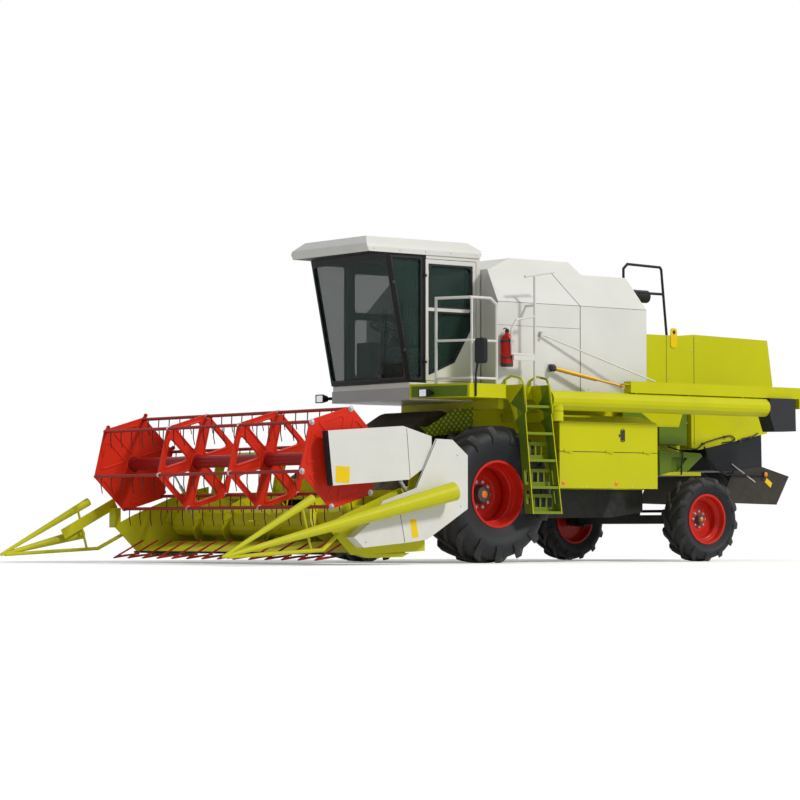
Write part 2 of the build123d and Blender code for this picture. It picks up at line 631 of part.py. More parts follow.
def tank():
    """The grain tank with its sides leaning in above the fold, the raised cover and two brackets."""
    section = [(TANK_HALF_W, TANK_LOW_Z), (TANK_HALF_W, TANK_FOLD_Z), (TANK_TOP_HALF_W, TANK_TOP_Z),
               (-TANK_TOP_HALF_W, TANK_TOP_Z), (-TANK_HALF_W, TANK_FOLD_Z), (-TANK_HALF_W, TANK_LOW_Z)]
    shell = slab("x", section, TANK_REAR_X, TANK_FRONT_X)
    niche_x = CAB_REAR_X - 30
    plan = [(niche_x, -CAB_HALF_W - 30), (niche_x, CAB_HALF_W + 30), (TANK_FRONT_X - 40, TANK_HALF_W),
            (TANK_FRONT_X + 10, TANK_HALF_W + 10), (TANK_FRONT_X + 10, -TANK_HALF_W - 10),
            (TANK_FRONT_X - 40, -TANK_HALF_W)]
    shell -= slab("z", plan, TANK_LOW_Z - 10, TANK_TOP_Z + 10)
    levels = [
        # height, rear x, front x, half width
        (TANK_TOP_Z + SEAT_GAP, -1820.0, -350.0, 780.0),
        (TANK_TOP_Z + 170, -1720.0, -800.0, 640.0),
    ]
    cover = skin([[Vector(x, y, z) for x, y in ((rear, -w), (front, -w), (front, w), (rear, w))]
                  for z, rear, front, w in levels])
    for x, y, z, reach, pin_r in ((STAY_X, STAY_Y, STAY_Z, STAY_EYE_H, STAY_PIN_R),
                                  (SWING_BASE_X, SWING_BASE_Y, SWING_BASE_Z, SWING_KNOB_H, SWING_PIN_R)):
        gap = reach + SEAT_GAP
        plates = [block(x - 22, x + 22, TANK_HALF_W - 1, y + 22, z0, z0 + 6) for z0 in (z - gap - 6, z + gap)]
        shell = shell.fuse(*plates, rod((x, y, z - gap - 1), (x, y, z + gap + 1), pin_r))
    save("grain_tank", shell, cover)


def screen_x(z):
    """Where the slanted windscreen plane stands at a height."""
    return SCREEN_LOW_X + (z - SCREEN_LOW_Z) * (SCREEN_TOP_X - SCREEN_LOW_X) / (SCREEN_TOP_Z - SCREEN_LOW_Z)


def screen_band(z0, z1, front, back):
    """A slanted outline in (x, z) between two heights, with its two faces set from the windscreen plane."""
    return [(screen_x(z0) + back, z0), (screen_x(z0) + front, z0), (screen_x(z1) + front, z1),
            (screen_x(z1) + back, z1)]


def cab():
    """The cab: floor, windscreen frame, two side frames, rear wall, roof, glass and door."""
    w, t = CAB_HALF_W, CAB_WALL
    save("cab_base_panel", block(785 + SEAT_GAP, 800, -w, w, CAB_BASE_Z, 2015))
    low, top = CAB_FLOOR_Z, CAB_TOP_Z - SEAT_GAP
    z0, z1, pane_y = SCREEN_LOW_Z + 30, SCREEN_TOP_Z - 25, w - 22
    g0, g1, mid = z0 + SEAT_GAP, z1 - SEAT_GAP, t / 2
    front = slab("y", screen_band(low, top, 0, -t), -w, w)
    front -= slab("y", screen_band(z0, z1, t, -3 * t), -pane_y, pane_y)
    glass = [slab("y", screen_band(g0, g1, -mid, -mid - GLASS), -pane_y + SEAT_GAP, pane_y - SEAT_GAP)]
    walls = [block(CAB_REAR_X, 785, -w, w, CAB_BASE_Z, low - SEAT_GAP), front]

    rear = CAB_REAR_X + t + SEAT_GAP
    back = t + SEAT_GAP
    sheet = [(rear, low), (screen_x(low) - back, low), (screen_x(top) - back, top), (rear, top)]
    pillar_x = DOOR_FRONT_X + 60
    quarter = [(pillar_x, low + 35), (screen_x(low + 35) - back - 8, low + 35),
               (screen_x(top - 35) - back - 8, top - 35), (pillar_x, top - 35)]
    door_low, door_top = low + 20, top - 40
    doorway = [(DOOR_REAR_X, door_low), (DOOR_FRONT_X, door_low), (DOOR_FRONT_X, door_top),
               (DOOR_REAR_X, door_top)]
    x0, x1 = DOOR_REAR_X + DOOR_GAP, DOOR_FRONT_X - DOOR_GAP
    upper = [(x0 + 60, 2960), (x1 - 50, 2960), (x1 - 50, door_top - 66), (x0 + 60, door_top - 66)]
    lower = [(x0 + 330, 2330), (x1 - 50, 2180), (x1 - 50, 2900), (x0 + 60, 2900), (x0 + 60, 2760)]
    axis_y = w + DOOR_HINGE_OUT
    for sign in (1, -1):
        wall = slab("y", sheet, *side_span(sign, w - t, w))
        for window in (quarter, doorway):
            wall -= slab("y", window, *side_span(sign, w - t - 5, w + 5))
        walls.append(wall)
        pane = side_span(sign, w - 20, w - 20 - GLASS)
        glass.append(slab("y", shrink(quarter, SEAT_GAP), *pane))
        play = DOOR_GAP if sign > 0 else SEAT_GAP
        panel = slab("y", shrink(doorway, play), *side_span(sign, w - t + 2, w - 2))
        for window in (upper, lower):
            panel -= slab("y", window, *side_span(sign, w - t - 5, w + 5))
        panes = [slab("y", shrink(window, SEAT_GAP), *pane) for window in (upper, lower)]
        if sign < 0:
            walls.append(panel)
            glass += panes
            continue
        for z in DOOR_HINGE_ZS:
            foot, head = z + 30 + SEAT_GAP, z + 71
            panel = panel.fuse(block(DOOR_FRONT_X - 40, DOOR_FRONT_X - 8, w - 4, axis_y, foot, head),
                               rod((DOOR_FRONT_X, axis_y, foot), (DOOR_FRONT_X, axis_y, head), 9),
                               block(DOOR_FRONT_X - 12, DOOR_FRONT_X, axis_y - 5, axis_y + 5, foot, head))
            pin = rod((DOOR_FRONT_X, axis_y, z), (DOOR_FRONT_X, axis_y, z + 30), 9)
            leaf = block(DOOR_FRONT_X, DOOR_FRONT_X + 40, w + SEAT_GAP, axis_y + 4, z, z + 30)
            walls.append(pin.fuse(leaf))
        handle = pipe([(-120, w - 3, 2780), (-120, w + 45, 2780), (-120, w + 45, 2920), (-120, w - 3, 2920)],
                      10)
        save("cab_door", panel.fuse(handle))
        save("door_glass", *panes)

    window_y, sill_z, head_z = 480.0, 2850.0, 3420.0
    wall = block(CAB_REAR_X, CAB_REAR_X + t, -w, w, low, top)
    wall -= block(CAB_REAR_X - 5, CAB_REAR_X + t + 5, -window_y, window_y, sill_z, head_z)
    glass.append(block(CAB_REAR_X + 16, CAB_REAR_X + 16 + GLASS, -window_y + SEAT_GAP, window_y - SEAT_GAP,
                       sill_z + SEAT_GAP, head_z - SEAT_GAP))
    save("cab_frame", *walls, wall)
    save("cab_glass", *glass)

    rear_x = CAB_REAR_X - 20
    levels = [
        # height, trimmed off each end, half width
        (CAB_TOP_Z, 30.0, 740.0),
        (CAB_TOP_Z + 55, 0.0, 740.0),
        (CAB_TOP_Z + 95, 5.0, 720.0),
        (ROOF_TOP_Z, 95.0, 590.0),
    ]
    save("cab_roof", skin([[Vector(x, y, z) for x, y in ((rear_x + cut, -half), (ROOF_FRONT_X - cut, -half),
                                                         (ROOF_FRONT_X - cut, half), (rear_x + cut, half))]
                           for z, cut, half in levels]))


def cab_fittings():
    """The driver's seat, the steering column with its wheel and the side console."""
    low = CAB_FLOOR_Z
    x = SEAT_X
    seat = block(x - 220, x + 220, -230, 230, low, low + 330).fuse(
        block(x - 250, x + 260, -260, 260, low + 329, low + 450),
        slab("y", [(x - 250, low + 449), (x - 130, low + 449), (x - 210, low + 1050), (x - 330, low + 1050)],
             -240, 240))
    save("seat", seat)
    centre = Vector(STEERING_X, 0, low + 660)
    plane = Plane(origin=centre, z_dir=(-0.35, 0, 1))
    rim_r, rim_t = 200.0, 12.0
    sides = 16
    loops = []
    for k in range(sides):
        turn = 2 * pi * k / sides
        out = plane.x_dir * cos(turn) + plane.y_dir * sin(turn)
        loops.append([centre + out * (rim_r + a) + plane.z_dir * b
                      for a, b in ((-rim_t, -rim_t), (rim_t, -rim_t), (rim_t, rim_t), (-rim_t, rim_t))])
    spokes = [plane * Rot(0, 0, turn) * Box(2 * rim_r, 26, 12) for turn in (0, 60, 120)]
    column = post((690, 0, low + 9), (STEERING_X + 12, 0, low + 620), 45)
    boss = post((STEERING_X + 12, 0, low + 615), (STEERING_X - 2, 0, low + 680), 40)
    save("controls", column.fuse(skin(loops, loop=True), boss, *spokes),
         block(-150, 500, -640, -400, low, low + 520))


def cheek_x(row, z):
    """Where a ladder cheek stands at a height, from its place at the platform and at its foot."""
    at_top, at_foot = row
    return at_top + (PLATFORM_TOP_Z - z) * (at_foot - at_top) / (PLATFORM_TOP_Z - LADDER_FOOT_Z)


def ladder():
    """The ladder: two cheeks that splay towards their feet, steps, pierced risers and grab loops."""
    top, foot = PLATFORM_TOP_Z, LADDER_FOOT_Z
    outline = [(1299, top), (LADDER_OUT_Y, top), (LADDER_OUT_Y, foot), (LADDER_IN_Y, foot),
               (LADDER_IN_Y, 1540),
               (1400, 1640), (1340, 1836), (1299, 1883)]
    pieces = []
    for row in LADDER_XS:
        cheek = skin([[Vector(cheek_x(row, z) + dx, y, z) for y, z in outline] for dx in (0, CHEEK)])
        for z0, z1 in ((680, 830), (900, 1070)):
            cheek -= block(row[1] - 50, row[0] + 50, 1490, 1550, z0, z1)
        points = [(1274, top), (1268, top + 65), (1380, top + 105), (1550, top + 70), (1600, top - 10),
                  (1600, 1745), (1575, 1715)]
        pieces += [cheek, pipe([(cheek_x(row, min(z, top)) + 4, y, z) for y, z in points], 14)]
    front, rear = LADDER_XS
    for k, z in enumerate(LADDER_STEPS):
        inner_y = 1365 if k == 0 else LADDER_IN_Y + 4
        x0, x1 = cheek_x(rear, z) + 4, cheek_x(front, z) + CHEEK - 4
        pieces.append(block(x0, x1, inner_y, LADDER_OUT_Y - 4, z - 30, z))
        if k < 2:
            continue
        riser = block(x0, x1, LADDER_IN_Y + 4, LADDER_IN_Y + 10, z - 1, z + 200)
        width = (x1 - x0 - 60) / 4
        for j in range(4):
            sx = x0 + 30 + j * width
            riser -= block(sx + 12, sx + width - 12, LADDER_IN_Y, LADDER_OUT_Y, z + 50, z + 160)
        pieces.append(riser)
    return pieces


def platform():
    """The left platform in front of the tank with its ladder, and the pierced guard beside the feeder."""
    low, top = PLATFORM_TOP_Z - PLATFORM_DEPTH, PLATFORM_TOP_Z
    inner = CAB_HALF_W + SEAT_GAP
    side_y = TANK_HALF_W + SEAT_GAP
    edge_y = PLATFORM_OUT_Y - 150
    plan = [(780, inner), (480, PLATFORM_OUT_Y), (-60, PLATFORM_OUT_Y), (-60, edge_y), (-720, edge_y),
            (-720, side_y), (TANK_FRONT_X - 39.6, side_y), (CAB_REAR_X - 29.6, CAB_HALF_W + 29.9),
            (CAB_REAR_X - 29.6, inner)]
    deck = slab("z", plan, low, top)
    legs = [block(-250, -170, RAIL_IN_Y, 1180, low - 110, CAB_BASE_Z - 5),
            block(-250, -170, inner + 5, 1180, low - 111, low + 1)]
    guard = slab("y", [(618, 1572), (520, 1562), (94, 1789), (-175, 1796), (-171, 1602), (127, 1493),
                       (488, 1460)], RAIL_OUT_Y + SEAT_GAP, RAIL_OUT_Y + 6)
    save("platform", deck.fuse(*legs, guard, *ladder()))


def railing():
    """The white railing round the platform and the tall pole with its handle beside the ladder."""
    top = PLATFORM_TOP_Z
    r, y = RAIL_R, PLATFORM_OUT_Y - 25
    thin = r - 2
    upper = [(60, y, top), (60, y, 2960), (150, y, 3030), (440, y, 3030), (625, y - 400, 3030),
             (625, y - 400, top)]
    front = [pipe(upper, r), pipe([(425, y, top), (425, y, 3020)], thin)]
    front += [pipe([(60, y, z), (440, y, z), (625, y - 400, z)], thin) for z in (2540, 2110)]
    x, y = POLE_X, POLE_Y
    pole = [pipe([(x, y, top + 7), (x, y, 3328)], r),
            pipe([(x + 148, y, 3307), (x - 293, y, 3382)], thin),
            pipe([(x, y, 2980), (x, TANK_HALF_W + SEAT_GAP, 2980)], thin),
            pipe([(x, y, 2852), (x + 278, y, 2801), (x + 355, y, 2680), (x + 346, y, 2406), (x, y, 2398)],
                 r - 3),
            block(x - 23, x + 326, y - 14, y + 14, 2337, 2392),
            block(x - 66, x + 5, y - 20, y + 20, top, top + 8)]
    save("railing", front[0].fuse(*front[1:]), pole[0].fuse(*pole[1:]))


def plate_ring(x0, x1, y0, y1, z0, z1, corner):
    """The chamfered outline of a plate that faces forward, as two rings of points."""
    outline = [(y0 + corner, z0), (y1 - corner, z0), (y1, z0 + corner), (y1, z1 - corner), (y1 - corner, z1),
               (y0 + corner, z1), (y0, z1 - corner), (y0, z0 + corner)]
    return [[Vector(x, y, z) for y, z in outline] for x in (x0, x1)]


def fittings():
    """Lamps with their brackets, the mirror on its stalk, the extinguisher and the roof rails."""
    lamps = []
    for sign in (1, -1):
        if sign > 0:
            bracket = slab("z", [(689, 950), (656, 1030), (705, 1030), (705, 950)], 1925, 1960)
        else:
            bracket = block(700, 725, -1010, -CAB_HALF_W - SEAT_GAP, 1925, 1960)
        y = sign * LAMP_Y
        lens = plate_ring(700, 790, y - 82, y + 82, LAMP_Z - 52, LAMP_Z + 52, 14)
        lens[0] = [Vector(p.X, y + 0.6 * (p.Y - y), LAMP_Z + 0.6 * (p.Z - LAMP_Z)) for p in lens[0]]
        lamps.append(bracket.fuse(skin(lens)))
    foot_y = PLATFORM_OUT_Y + 12 * cos(pi / 8) + SEAT_GAP
    stalk = pipe([(395, foot_y, 1900), (395, foot_y, 2150), (395, 1500, 2300)], 12)
    mirror_body = skin(plate_ring(370, 420, 1470, 1640, 2270, 2560, 26))

    r, y, top = RAIL_R, 640.0, HOOD_TOP_Z
    near = pipe([(-3330, y, top + 2.1), (-3243, y, 3590), (-3220, y, 3618), (-2680, y, 3630),
                 (-2615, y, 3570),
                 (-2615, y, top)], r)
    near = near.fuse(pipe([(-2615, y, 3288), (-3275, y, 3288)], r))
    far = pipe([(-3250, -y, top), (-3250, -y, 3560), (-2600, -y, 3560), (-2600, -y, top)], r)
    silencer = post((-3050, 200, 3290), (-3400, 200, 3290), 80, sides=16)
    silencer = silencer.fuse(post((-3150, 200, top), (-3150, 200, 3240), 45))
    save("lamps_and_rails", *lamps, stalk.fuse(mirror_body), near, far, silencer)

    y = TANK_HALF_W + 70 * cos(pi / 12) + SEAT_GAP
    heights = [
        # height, radius
        (2260.0, 70.0),
        (2610.0, 70.0),
        (2645.0, 42.0),
        (2655.0, 24.0),
        (2710.0, 24.0),
    ]
    save("extinguisher", skin([ring(Vector(-190, y, z), Vector(0, 0, 1), r, 12) for z, r in heights]))


def unloader():
    """The unloading auger: fixed turret, swinging tube with its channel, and rubber spout."""
    x, y, r = SPOUT_PIVOT_X, SPOUT_Y, SPOUT_R
    turret_top = SPOUT_Z - r - 15
    base = block(x - 120, x + 120, RAIL_IN_Y, y, PANEL_TOP_Z + 10, turret_top - 10)
    save("auger_base", base.fuse(rod((x, y, PANEL_TOP_Z + 10), (x, y, turret_top), TURRET_R)))
    tube_x = Vector(1, 0, 0)
    barrel = skin([ring(Vector(end, y, SPOUT_Z), tube_x, r, 16) for end in (SPOUT_FRONT_X, SPOUT_REAR_X)])
    collar = rod((x, y, turret_top + HUB_GAP), (x, y, SPOUT_Z), TURRET_R)
    channel = block(-4755, CHANNEL_FRONT_X, y - 60, y + 60, 2003, 2140)
    saddles = [block(sx - 20, sx + 20, y - 40, y + 40, SPOUT_Z, 2004) for sx in (-2050, -2900, -3800)]
    bracket = block(-4790, -4754, y - 60, y + 60, 1880, 2140)
    # The swing rod's boss lies under this cheek: the rod slopes, so its boss sinks as it slides out.
    cheek_z = SWING_EYE_Z + SWING_BOSS_H + SEAT_GAP
    cheek = block(CHANNEL_FRONT_X - 1, SWING_EYE_X + 8, y - SWING_CHEEK_HALF_W, y + SWING_CHEEK_HALF_W,
                  cheek_z, cheek_z + SWING_CHEEK)
    save("auger_tube", barrel.fuse(collar, channel, bracket, cheek, *saddles))
    back = SPOUT_BACK_X
    spout = slab("y", [(SPOUT_REAR_X - SEAT_GAP, 2000), (back, 2000), (back - 10, 1600), (-4280, 1590),
                       (SPOUT_REAR_X - SEAT_GAP, 1790)], y - SPOUT_HALF_W, y + SPOUT_HALF_W)
    spout -= slab("y", [(-4290, 1500), (-4290, 1700), (-4230, 1960), (back + 15, 1960), (back + 5, 1500)],
                  y - SPOUT_HALF_W + 15, y + SPOUT_HALF_W - 15)
    save("auger_spout", spout)


def tangent_point(centre, radius, outside, side):
    """The point of a circle where a line from an outside point touches it; side is 1 or -1."""
    dx, dz = outside[0] - centre[0], outside[1] - centre[1]
    turn = atan2(dz, dx) + side * acos(radius / hypot(dx, dz))
    return centre[0] + radius * cos(turn), centre[1] + radius * sin(turn)


def feeder():
    """The feeder house: a hollow tapered trunk from its rear pivot to the table's back wall."""
    pivot, r = (FEEDER_PIVOT_X, FEEDER_PIVOT_Z), FEEDER_NOSE_R
    mouth_x = BACK_X - SEAT_GAP
    top, low = (mouth_x, FEEDER_MOUTH_TOP_Z), (mouth_x, FEEDER_MOUTH_LOW_Z)
    upper, under = tangent_point(pivot, r, top, 1), tangent_point(pivot, r, low, -1)
    half = FEEDER_HALF_W
    trunk = slab("y", [upper, top, low, under], -half, half)
    nose = post((pivot[0], -half, pivot[1]), (pivot[0], half, pivot[1]), r, sides=24)
    pins = rod((pivot[0], -RAIL_OUT_Y + 5, pivot[1]), (pivot[0], RAIL_OUT_Y - 5, pivot[1]), FEEDER_PIN_R)
    inner = [(upper[0] + 260, upper[1] - 150), (mouth_x + 10, FEEDER_MOUTH_TOP_Z - 25),
             (mouth_x + 10, FEEDER_MOUTH_LOW_Z + 25), (under[0] + 260, under[1] + 225)]
    room = slab("y", inner, -half + 20, half - 20)
    ears = []
    x, z = LIFT_EYE_X, LIFT_EYE_Z
    for y in (-LIFT_Y, LIFT_Y):
        ears.append(rod((x, y - 36, z), (x, y + 36, z), LIFT_EYE_PIN_R))
        for ear_y in (y - 36, y + 24):
            ears.append(slab("y", [(x - 80, 660), (x + 80, 620), (x + 22, z - 22), (x - 22, z - 22)],
                             ear_y, ear_y + 12))
    save("feeder_house", (trunk.fuse(nose, pins) - room).fuse(*ears))


def disc_at(x, z, radius, y0, y1):
    """A truly round disc about the Y direction."""
    return rod((x, y0, z), (x, y1, z), radius)


def header_frame():
    """The table: trough and pan, back wall, beams, side sheets and the brackets of the reel arms."""
    half, inner = HEADER_HALF_W, HEADER_HALF_W - SHEET
    trough_r = FLIGHT_R + TROUGH_GAP
    ax, az = TABLE_AUGER_X, TABLE_AUGER_Z
    step = (pi + TROUGH_END) / TROUGH_FLATS
    turns = [-pi + step * k for k in range(TROUGH_FLATS + 1)]
    inside_r = trough_r / cos(step / 2)
    trough = slab("y", around((ax, az), [(inside_r, t) for t in turns] +
                              [(inside_r + PAN, t) for t in turns[::-1]]), -inner, inner)
    end_x, end_z = ax + trough_r * cos(TROUGH_END), az + trough_r * sin(TROUGH_END)
    pan = bar((end_x - 4, end_z - PAN / 2), (KNIFE_X - 40, KNIFE_Z - 12), PAN, -inner, inner)
    pan &= block(end_x - 20, KNIFE_X - 62, -inner, inner, 0, 400)
    wall_x = ax - trough_r
    wall = block(wall_x - PAN - 2, wall_x - 2, -inner, inner, az - 2, BACK_TOP_Z - 60)
    beam = block(BACK_X, BACK_X + 100, -inner, inner, BACK_TOP_Z - 80, BACK_TOP_Z)
    foot = block(ax - 110, ax + 10, -inner, inner, az - trough_r - PAN - 60, az - trough_r - 6)
    half_mouth = FEEDER_HALF_W - 20
    mouth = block(BACK_X, wall_x - PAN + 2, -half_mouth - 80, half_mouth + 80, 250, FEEDER_MOUTH_TOP_Z + 10)
    passage = block(BACK_X - 5, wall_x + 5, -half_mouth, half_mouth, 380, BACK_TOP_Z - 90)
    sheet = [(BACK_X, 150), (KNIFE_X - 60, 110), (SHEET_NOSE_X, 430), (2700, 560), (2000, 830), (BACK_X, 900)]
    brackets = []
    x, z = ARM_PIVOT_X, ARM_PIVOT_Z
    for y in (-1900, -650, 650, 1900):
        ear = slab("y", [(x - 75, z + 60), (x + 75, z + 60), (BACK_X + 90, BACK_TOP_Z - 40),
                         (BACK_X, BACK_TOP_Z - 40)], y - 12, y + 12)
        brackets.append(ear - rod((x, y - 20, z), (x, y + 20, z), ARM_TUBE_R + PIN_GAP))
    sides = []
    for sign in (1, -1):
        side = slab("y", sheet, *side_span(sign, inner - 1, half))
        side -= disc_at(REEL_CYL_X, REEL_CYL_Z, REEL_CYL_PIN_R + PIN_GAP,
                        *side_span(sign, inner - 10, half + 10))
        skid_yz = side_span(sign, inner - 90, half)
        skid = slab("y", [(1850, 130), (1950, 85), (2400, 78), (2560, 118)], *skid_yz)
        sides += [side, skid]
    save("header_frame", trough.fuse(pan, wall, beam, foot, mouth, *sides, *brackets) - passage)


def cutterbar():
    """The knife: a bar with pointed guards at the standard pitch, cut as one comb, and the lifters."""
    count = int(2 * (HEADER_HALF_W - 40) / FINGER_PITCH)
    y = -count * FINGER_PITCH / 2
    rear = KNIFE_X - 62 + SEAT_GAP
    root = KNIFE_X - 20
    comb = [(rear, y)]
    for k in range(count):
        y0 = y + k * FINGER_PITCH
        comb += [(root, y0 + 14), (KNIFE_X + 70, y0 + FINGER_PITCH / 2), (root, y0 + FINGER_PITCH - 14)]
    comb.append((rear, -y))
    lifters = []
    side = [(3060, 58), (2640, 268), (2632, 252), (2960, 88), (2700, 111.7), (2690, 96), (3040, 50)]
    for k in range(LIFTERS):
        ly = (k - (LIFTERS - 1) / 2) * 4 * FINGER_PITCH
        lifters.append(slab("y", side, ly - 7, ly + 7))
    save("cutterbar", slab("z", comb, KNIFE_Z - 18, KNIFE_Z + 6), *lifters)


def dividers():
    """The crop dividers at both ends: top bar, skid tube and strut, and each side's own outer piece."""
    y, tip = DIVIDER_Y, DIVIDER_TIP_X
    edge = HEADER_HALF_W
    pieces = []
    for sign in (1, -1):
        nose = post((tip, sign * y, 95), (tip - 1170, sign * (y - 20), 712), 16, 48)
        skid = pipe([(tip - 60, sign * y, 100), (3120, sign * (y - 25), 165),
                     (2840, sign * (edge + 22 * cos(pi / 8) + SEAT_GAP), 330)], 22)
        strut = post((3400, sign * (y - 15), 645), (3270, sign * (y - 22), 160), 14, sides=8)
        if sign > 0:
            outer = post((tip - 15, y, 100), (1450, TORPEDO_Y, 800), 18, 105, 16)
            tie = block(2880, 2960, edge + SEAT_GAP, TORPEDO_Y - 60, 400, 450)
        else:
            outer = post((tip - 15, -y, 100), (3270, -y - 90, 340), 18, 64)
            tie = bar((3600, 330), (2880, 700), 120, -y + 20, -y + 32)
            tie = tie.fuse(block(2880, 2960, -y + 20, -edge - SEAT_GAP, 410, 640))
        pieces.append(nose.fuse(skid, strut, outer, tie))
    save("dividers", *pieces)


def end_cover():
    """The white cover over the left end of the table, a sheet with a rim at its back and foot."""
    outline = [(1600, 1375), (1885, 830), (2330, 690), (2520, 443), (2717, 299), (2588, 190), (1990, 243),
               (1716, 277), (1152, 612), (1152, 1200), (1368, 1368)]
    inner_y = HEADER_HALF_W + SEAT_GAP
    full = slab("y", outline, inner_y, COVER_OUT_Y)
    hollow = slab("y", shrink(outline, 14), inner_y - 5, COVER_OUT_Y - 14)
    room = block(1420, 2800, inner_y - 5, COVER_OUT_Y - 14, 560, 1500)
    save("end_cover", full - hollow - room)


def table_auger():
    """The table auger: a drum whose two flights wind opposite ways towards the middle."""
    half = HEADER_HALF_W - SHEET - 20
    x, z = TABLE_AUGER_X, TABLE_AUGER_Z
    drum = post((x, -half, z), (x, half, z), DRUM_R, sides=16)
    reach = half + 19 - SEAT_GAP
    axle = rod((x, -reach, z), (x, reach, z), 30)
    steps = int(FLIGHT_TURNS * FLIGHT_STEPS)
    flights = []
    for sign in (1, -1):
        sections = []
        for k in range(steps + 1):
            turn = 2 * pi * k / FLIGHT_STEPS
            y = sign * (half - 10 - k * (half - 420) / steps)
            sections.append([Vector(x + r * cos(turn), y - dy * sign, z + r * sin(turn))
                             for r, dy in ((DRUM_R - 12, 0), (FLIGHT_R, 0), (FLIGHT_R, 8), (DRUM_R - 12, 8))])
        flights.append(skin(sections))
    fingers = []
    for k in range(FINGERS):
        turn = 2 * pi * k * 3 / FINGERS
        y = -340 + k * 680 / (FINGERS - 1)
        reach = FLIGHT_R - 5
        fingers.append(post((x, y, z), (x + reach * cos(turn), y, z + reach * sin(turn)), 9, sides=6))
    save("table_auger", drum.fuse(axle, *flights, *fingers))


def reel():
    """The reel: tube, four plates, six turning bats with tines, and the star that keeps them upright."""
    x, z = REEL_X, REEL_Z
    turns = [radians(REEL_TURN + 360 * k / BAT_COUNT) for k in range(BAT_COUNT)]
    bats = [(x + REEL_R * cos(t), z + REEL_R * sin(t)) for t in turns]
    body = [post((x, -REEL_END_Y, z), (x, REEL_END_Y, z), REEL_TUBE_R, sides=16),
            rod((x, -ARM_IN_Y - ARM_W, z), (x, ARM_IN_Y + ARM_W, z), REEL_SHAFT_R)]
    rim_r = REEL_R + EYE_R
    lobe = EYE_R / REEL_R
    window = [(410, -13), (410, 13), (370, 18), (205, 9), (185, 0), (205, -9), (370, -18)]
    for y in (-REEL_END_Y, -REEL_MID_Y, REEL_MID_Y, REEL_END_Y):
        y0, y1 = y - REEL_PLATE / 2, y + REEL_PLATE / 2
        plate = slab("y", around((x, z), [(rim_r, t + s * lobe) for t in turns for s in (-1, 1)]), y0, y1)
        for t, (bx, bz) in zip(turns, bats):
            if abs(y) == REEL_MID_Y:
                mid = t + pi / BAT_COUNT
                plate -= post((bx, y0 - 20, bz), (bx, y1 + 20, bz), (BAT_R + PIN_GAP) / cos(pi / 8), sides=8)
                plate -= slab("y", around((x, z), [(r, mid + radians(turn)) for r, turn in window]),
                              y0 - 20, y1 + 20)
            else:
                plate -= disc_at(bx, bz, BAT_R + PIN_GAP, y0 - 20, y1 + 20)
        body.append(plate)
    save("reel", body[0].fuse(*body[1:]))

    cx, cz = CRANK * cos(radians(CRANK_TURN)), CRANK * sin(radians(CRANK_TURN))
    bays = [
        # from, to, tines
        (-REEL_END_Y, -REEL_MID_Y, 6),
        (-REEL_MID_Y, REEL_MID_Y, 7),
        (REEL_MID_Y, REEL_END_Y, 6),
    ]
    journal = REEL_PLATE / 2 + 4
    for k, (bx, bz) in enumerate(bats):
        tines = []
        side = [(-5, -12), (5, -12), (9, -110), (-12, -TINE_DROP), (-18, -TINE_DROP + 3), (0, -108)]
        for start, end, count in bays:
            for j in range(count):
                ty = start + (j + 0.5) * (end - start) / count
                tines.append(slab("y", [(bx + dx, bz + dz) for dx, dz in side], ty - 4, ty + 4))
        middle = post((bx, -REEL_END_Y + journal - 1, bz), (bx, REEL_END_Y - journal + 1, bz), BAT_R, sides=8)
        journals = [disc_at(bx, bz, BAT_R, CRANK_Y - 1, -REEL_END_Y + journal),
                    disc_at(bx, bz, BAT_R, REEL_END_Y - journal, REEL_END_Y + journal + 8)]
        crank = bar((bx, bz), (bx + cx, bz + cz), 30, CRANK_Y - CRANK_T, CRANK_Y)
        pin = disc_at(bx + cx, bz + cz, CRANK_PIN_R, STAR_Y - CRANK_T, CRANK_Y)
        save(f"bat_{k + 1}", middle.fuse(*journals, crank, pin, *tines))

    sx, sz = x + cx, z + cz
    y0, y1 = STAR_Y - CRANK_T, STAR_Y
    eyes = [(sx + REEL_R * cos(t), sz + REEL_R * sin(t)) for t in turns]
    star = post((sx, y0, sz), (sx, y1, sz), ECCENTRIC_R + 30, sides=18)
    star = star.fuse(*[bar((sx + ECCENTRIC_R * cos(t), sz + ECCENTRIC_R * sin(t)), eye, 34, y0, y1)
                       for t, eye in zip(turns, eyes)],
                     *[post((ex, y0, ez), (ex, y1, ez), 26, sides=8) for ex, ez in eyes])
    star -= disc_at(sx, sz, ECCENTRIC_R + PIN_GAP, y0 - 10, y1 + 10)
    for ex, ez in eyes:
        star -= disc_at(ex, ez, CRANK_PIN_R + PIN_GAP, y0 - 10, y1 + 10)
    save("control_star", star)


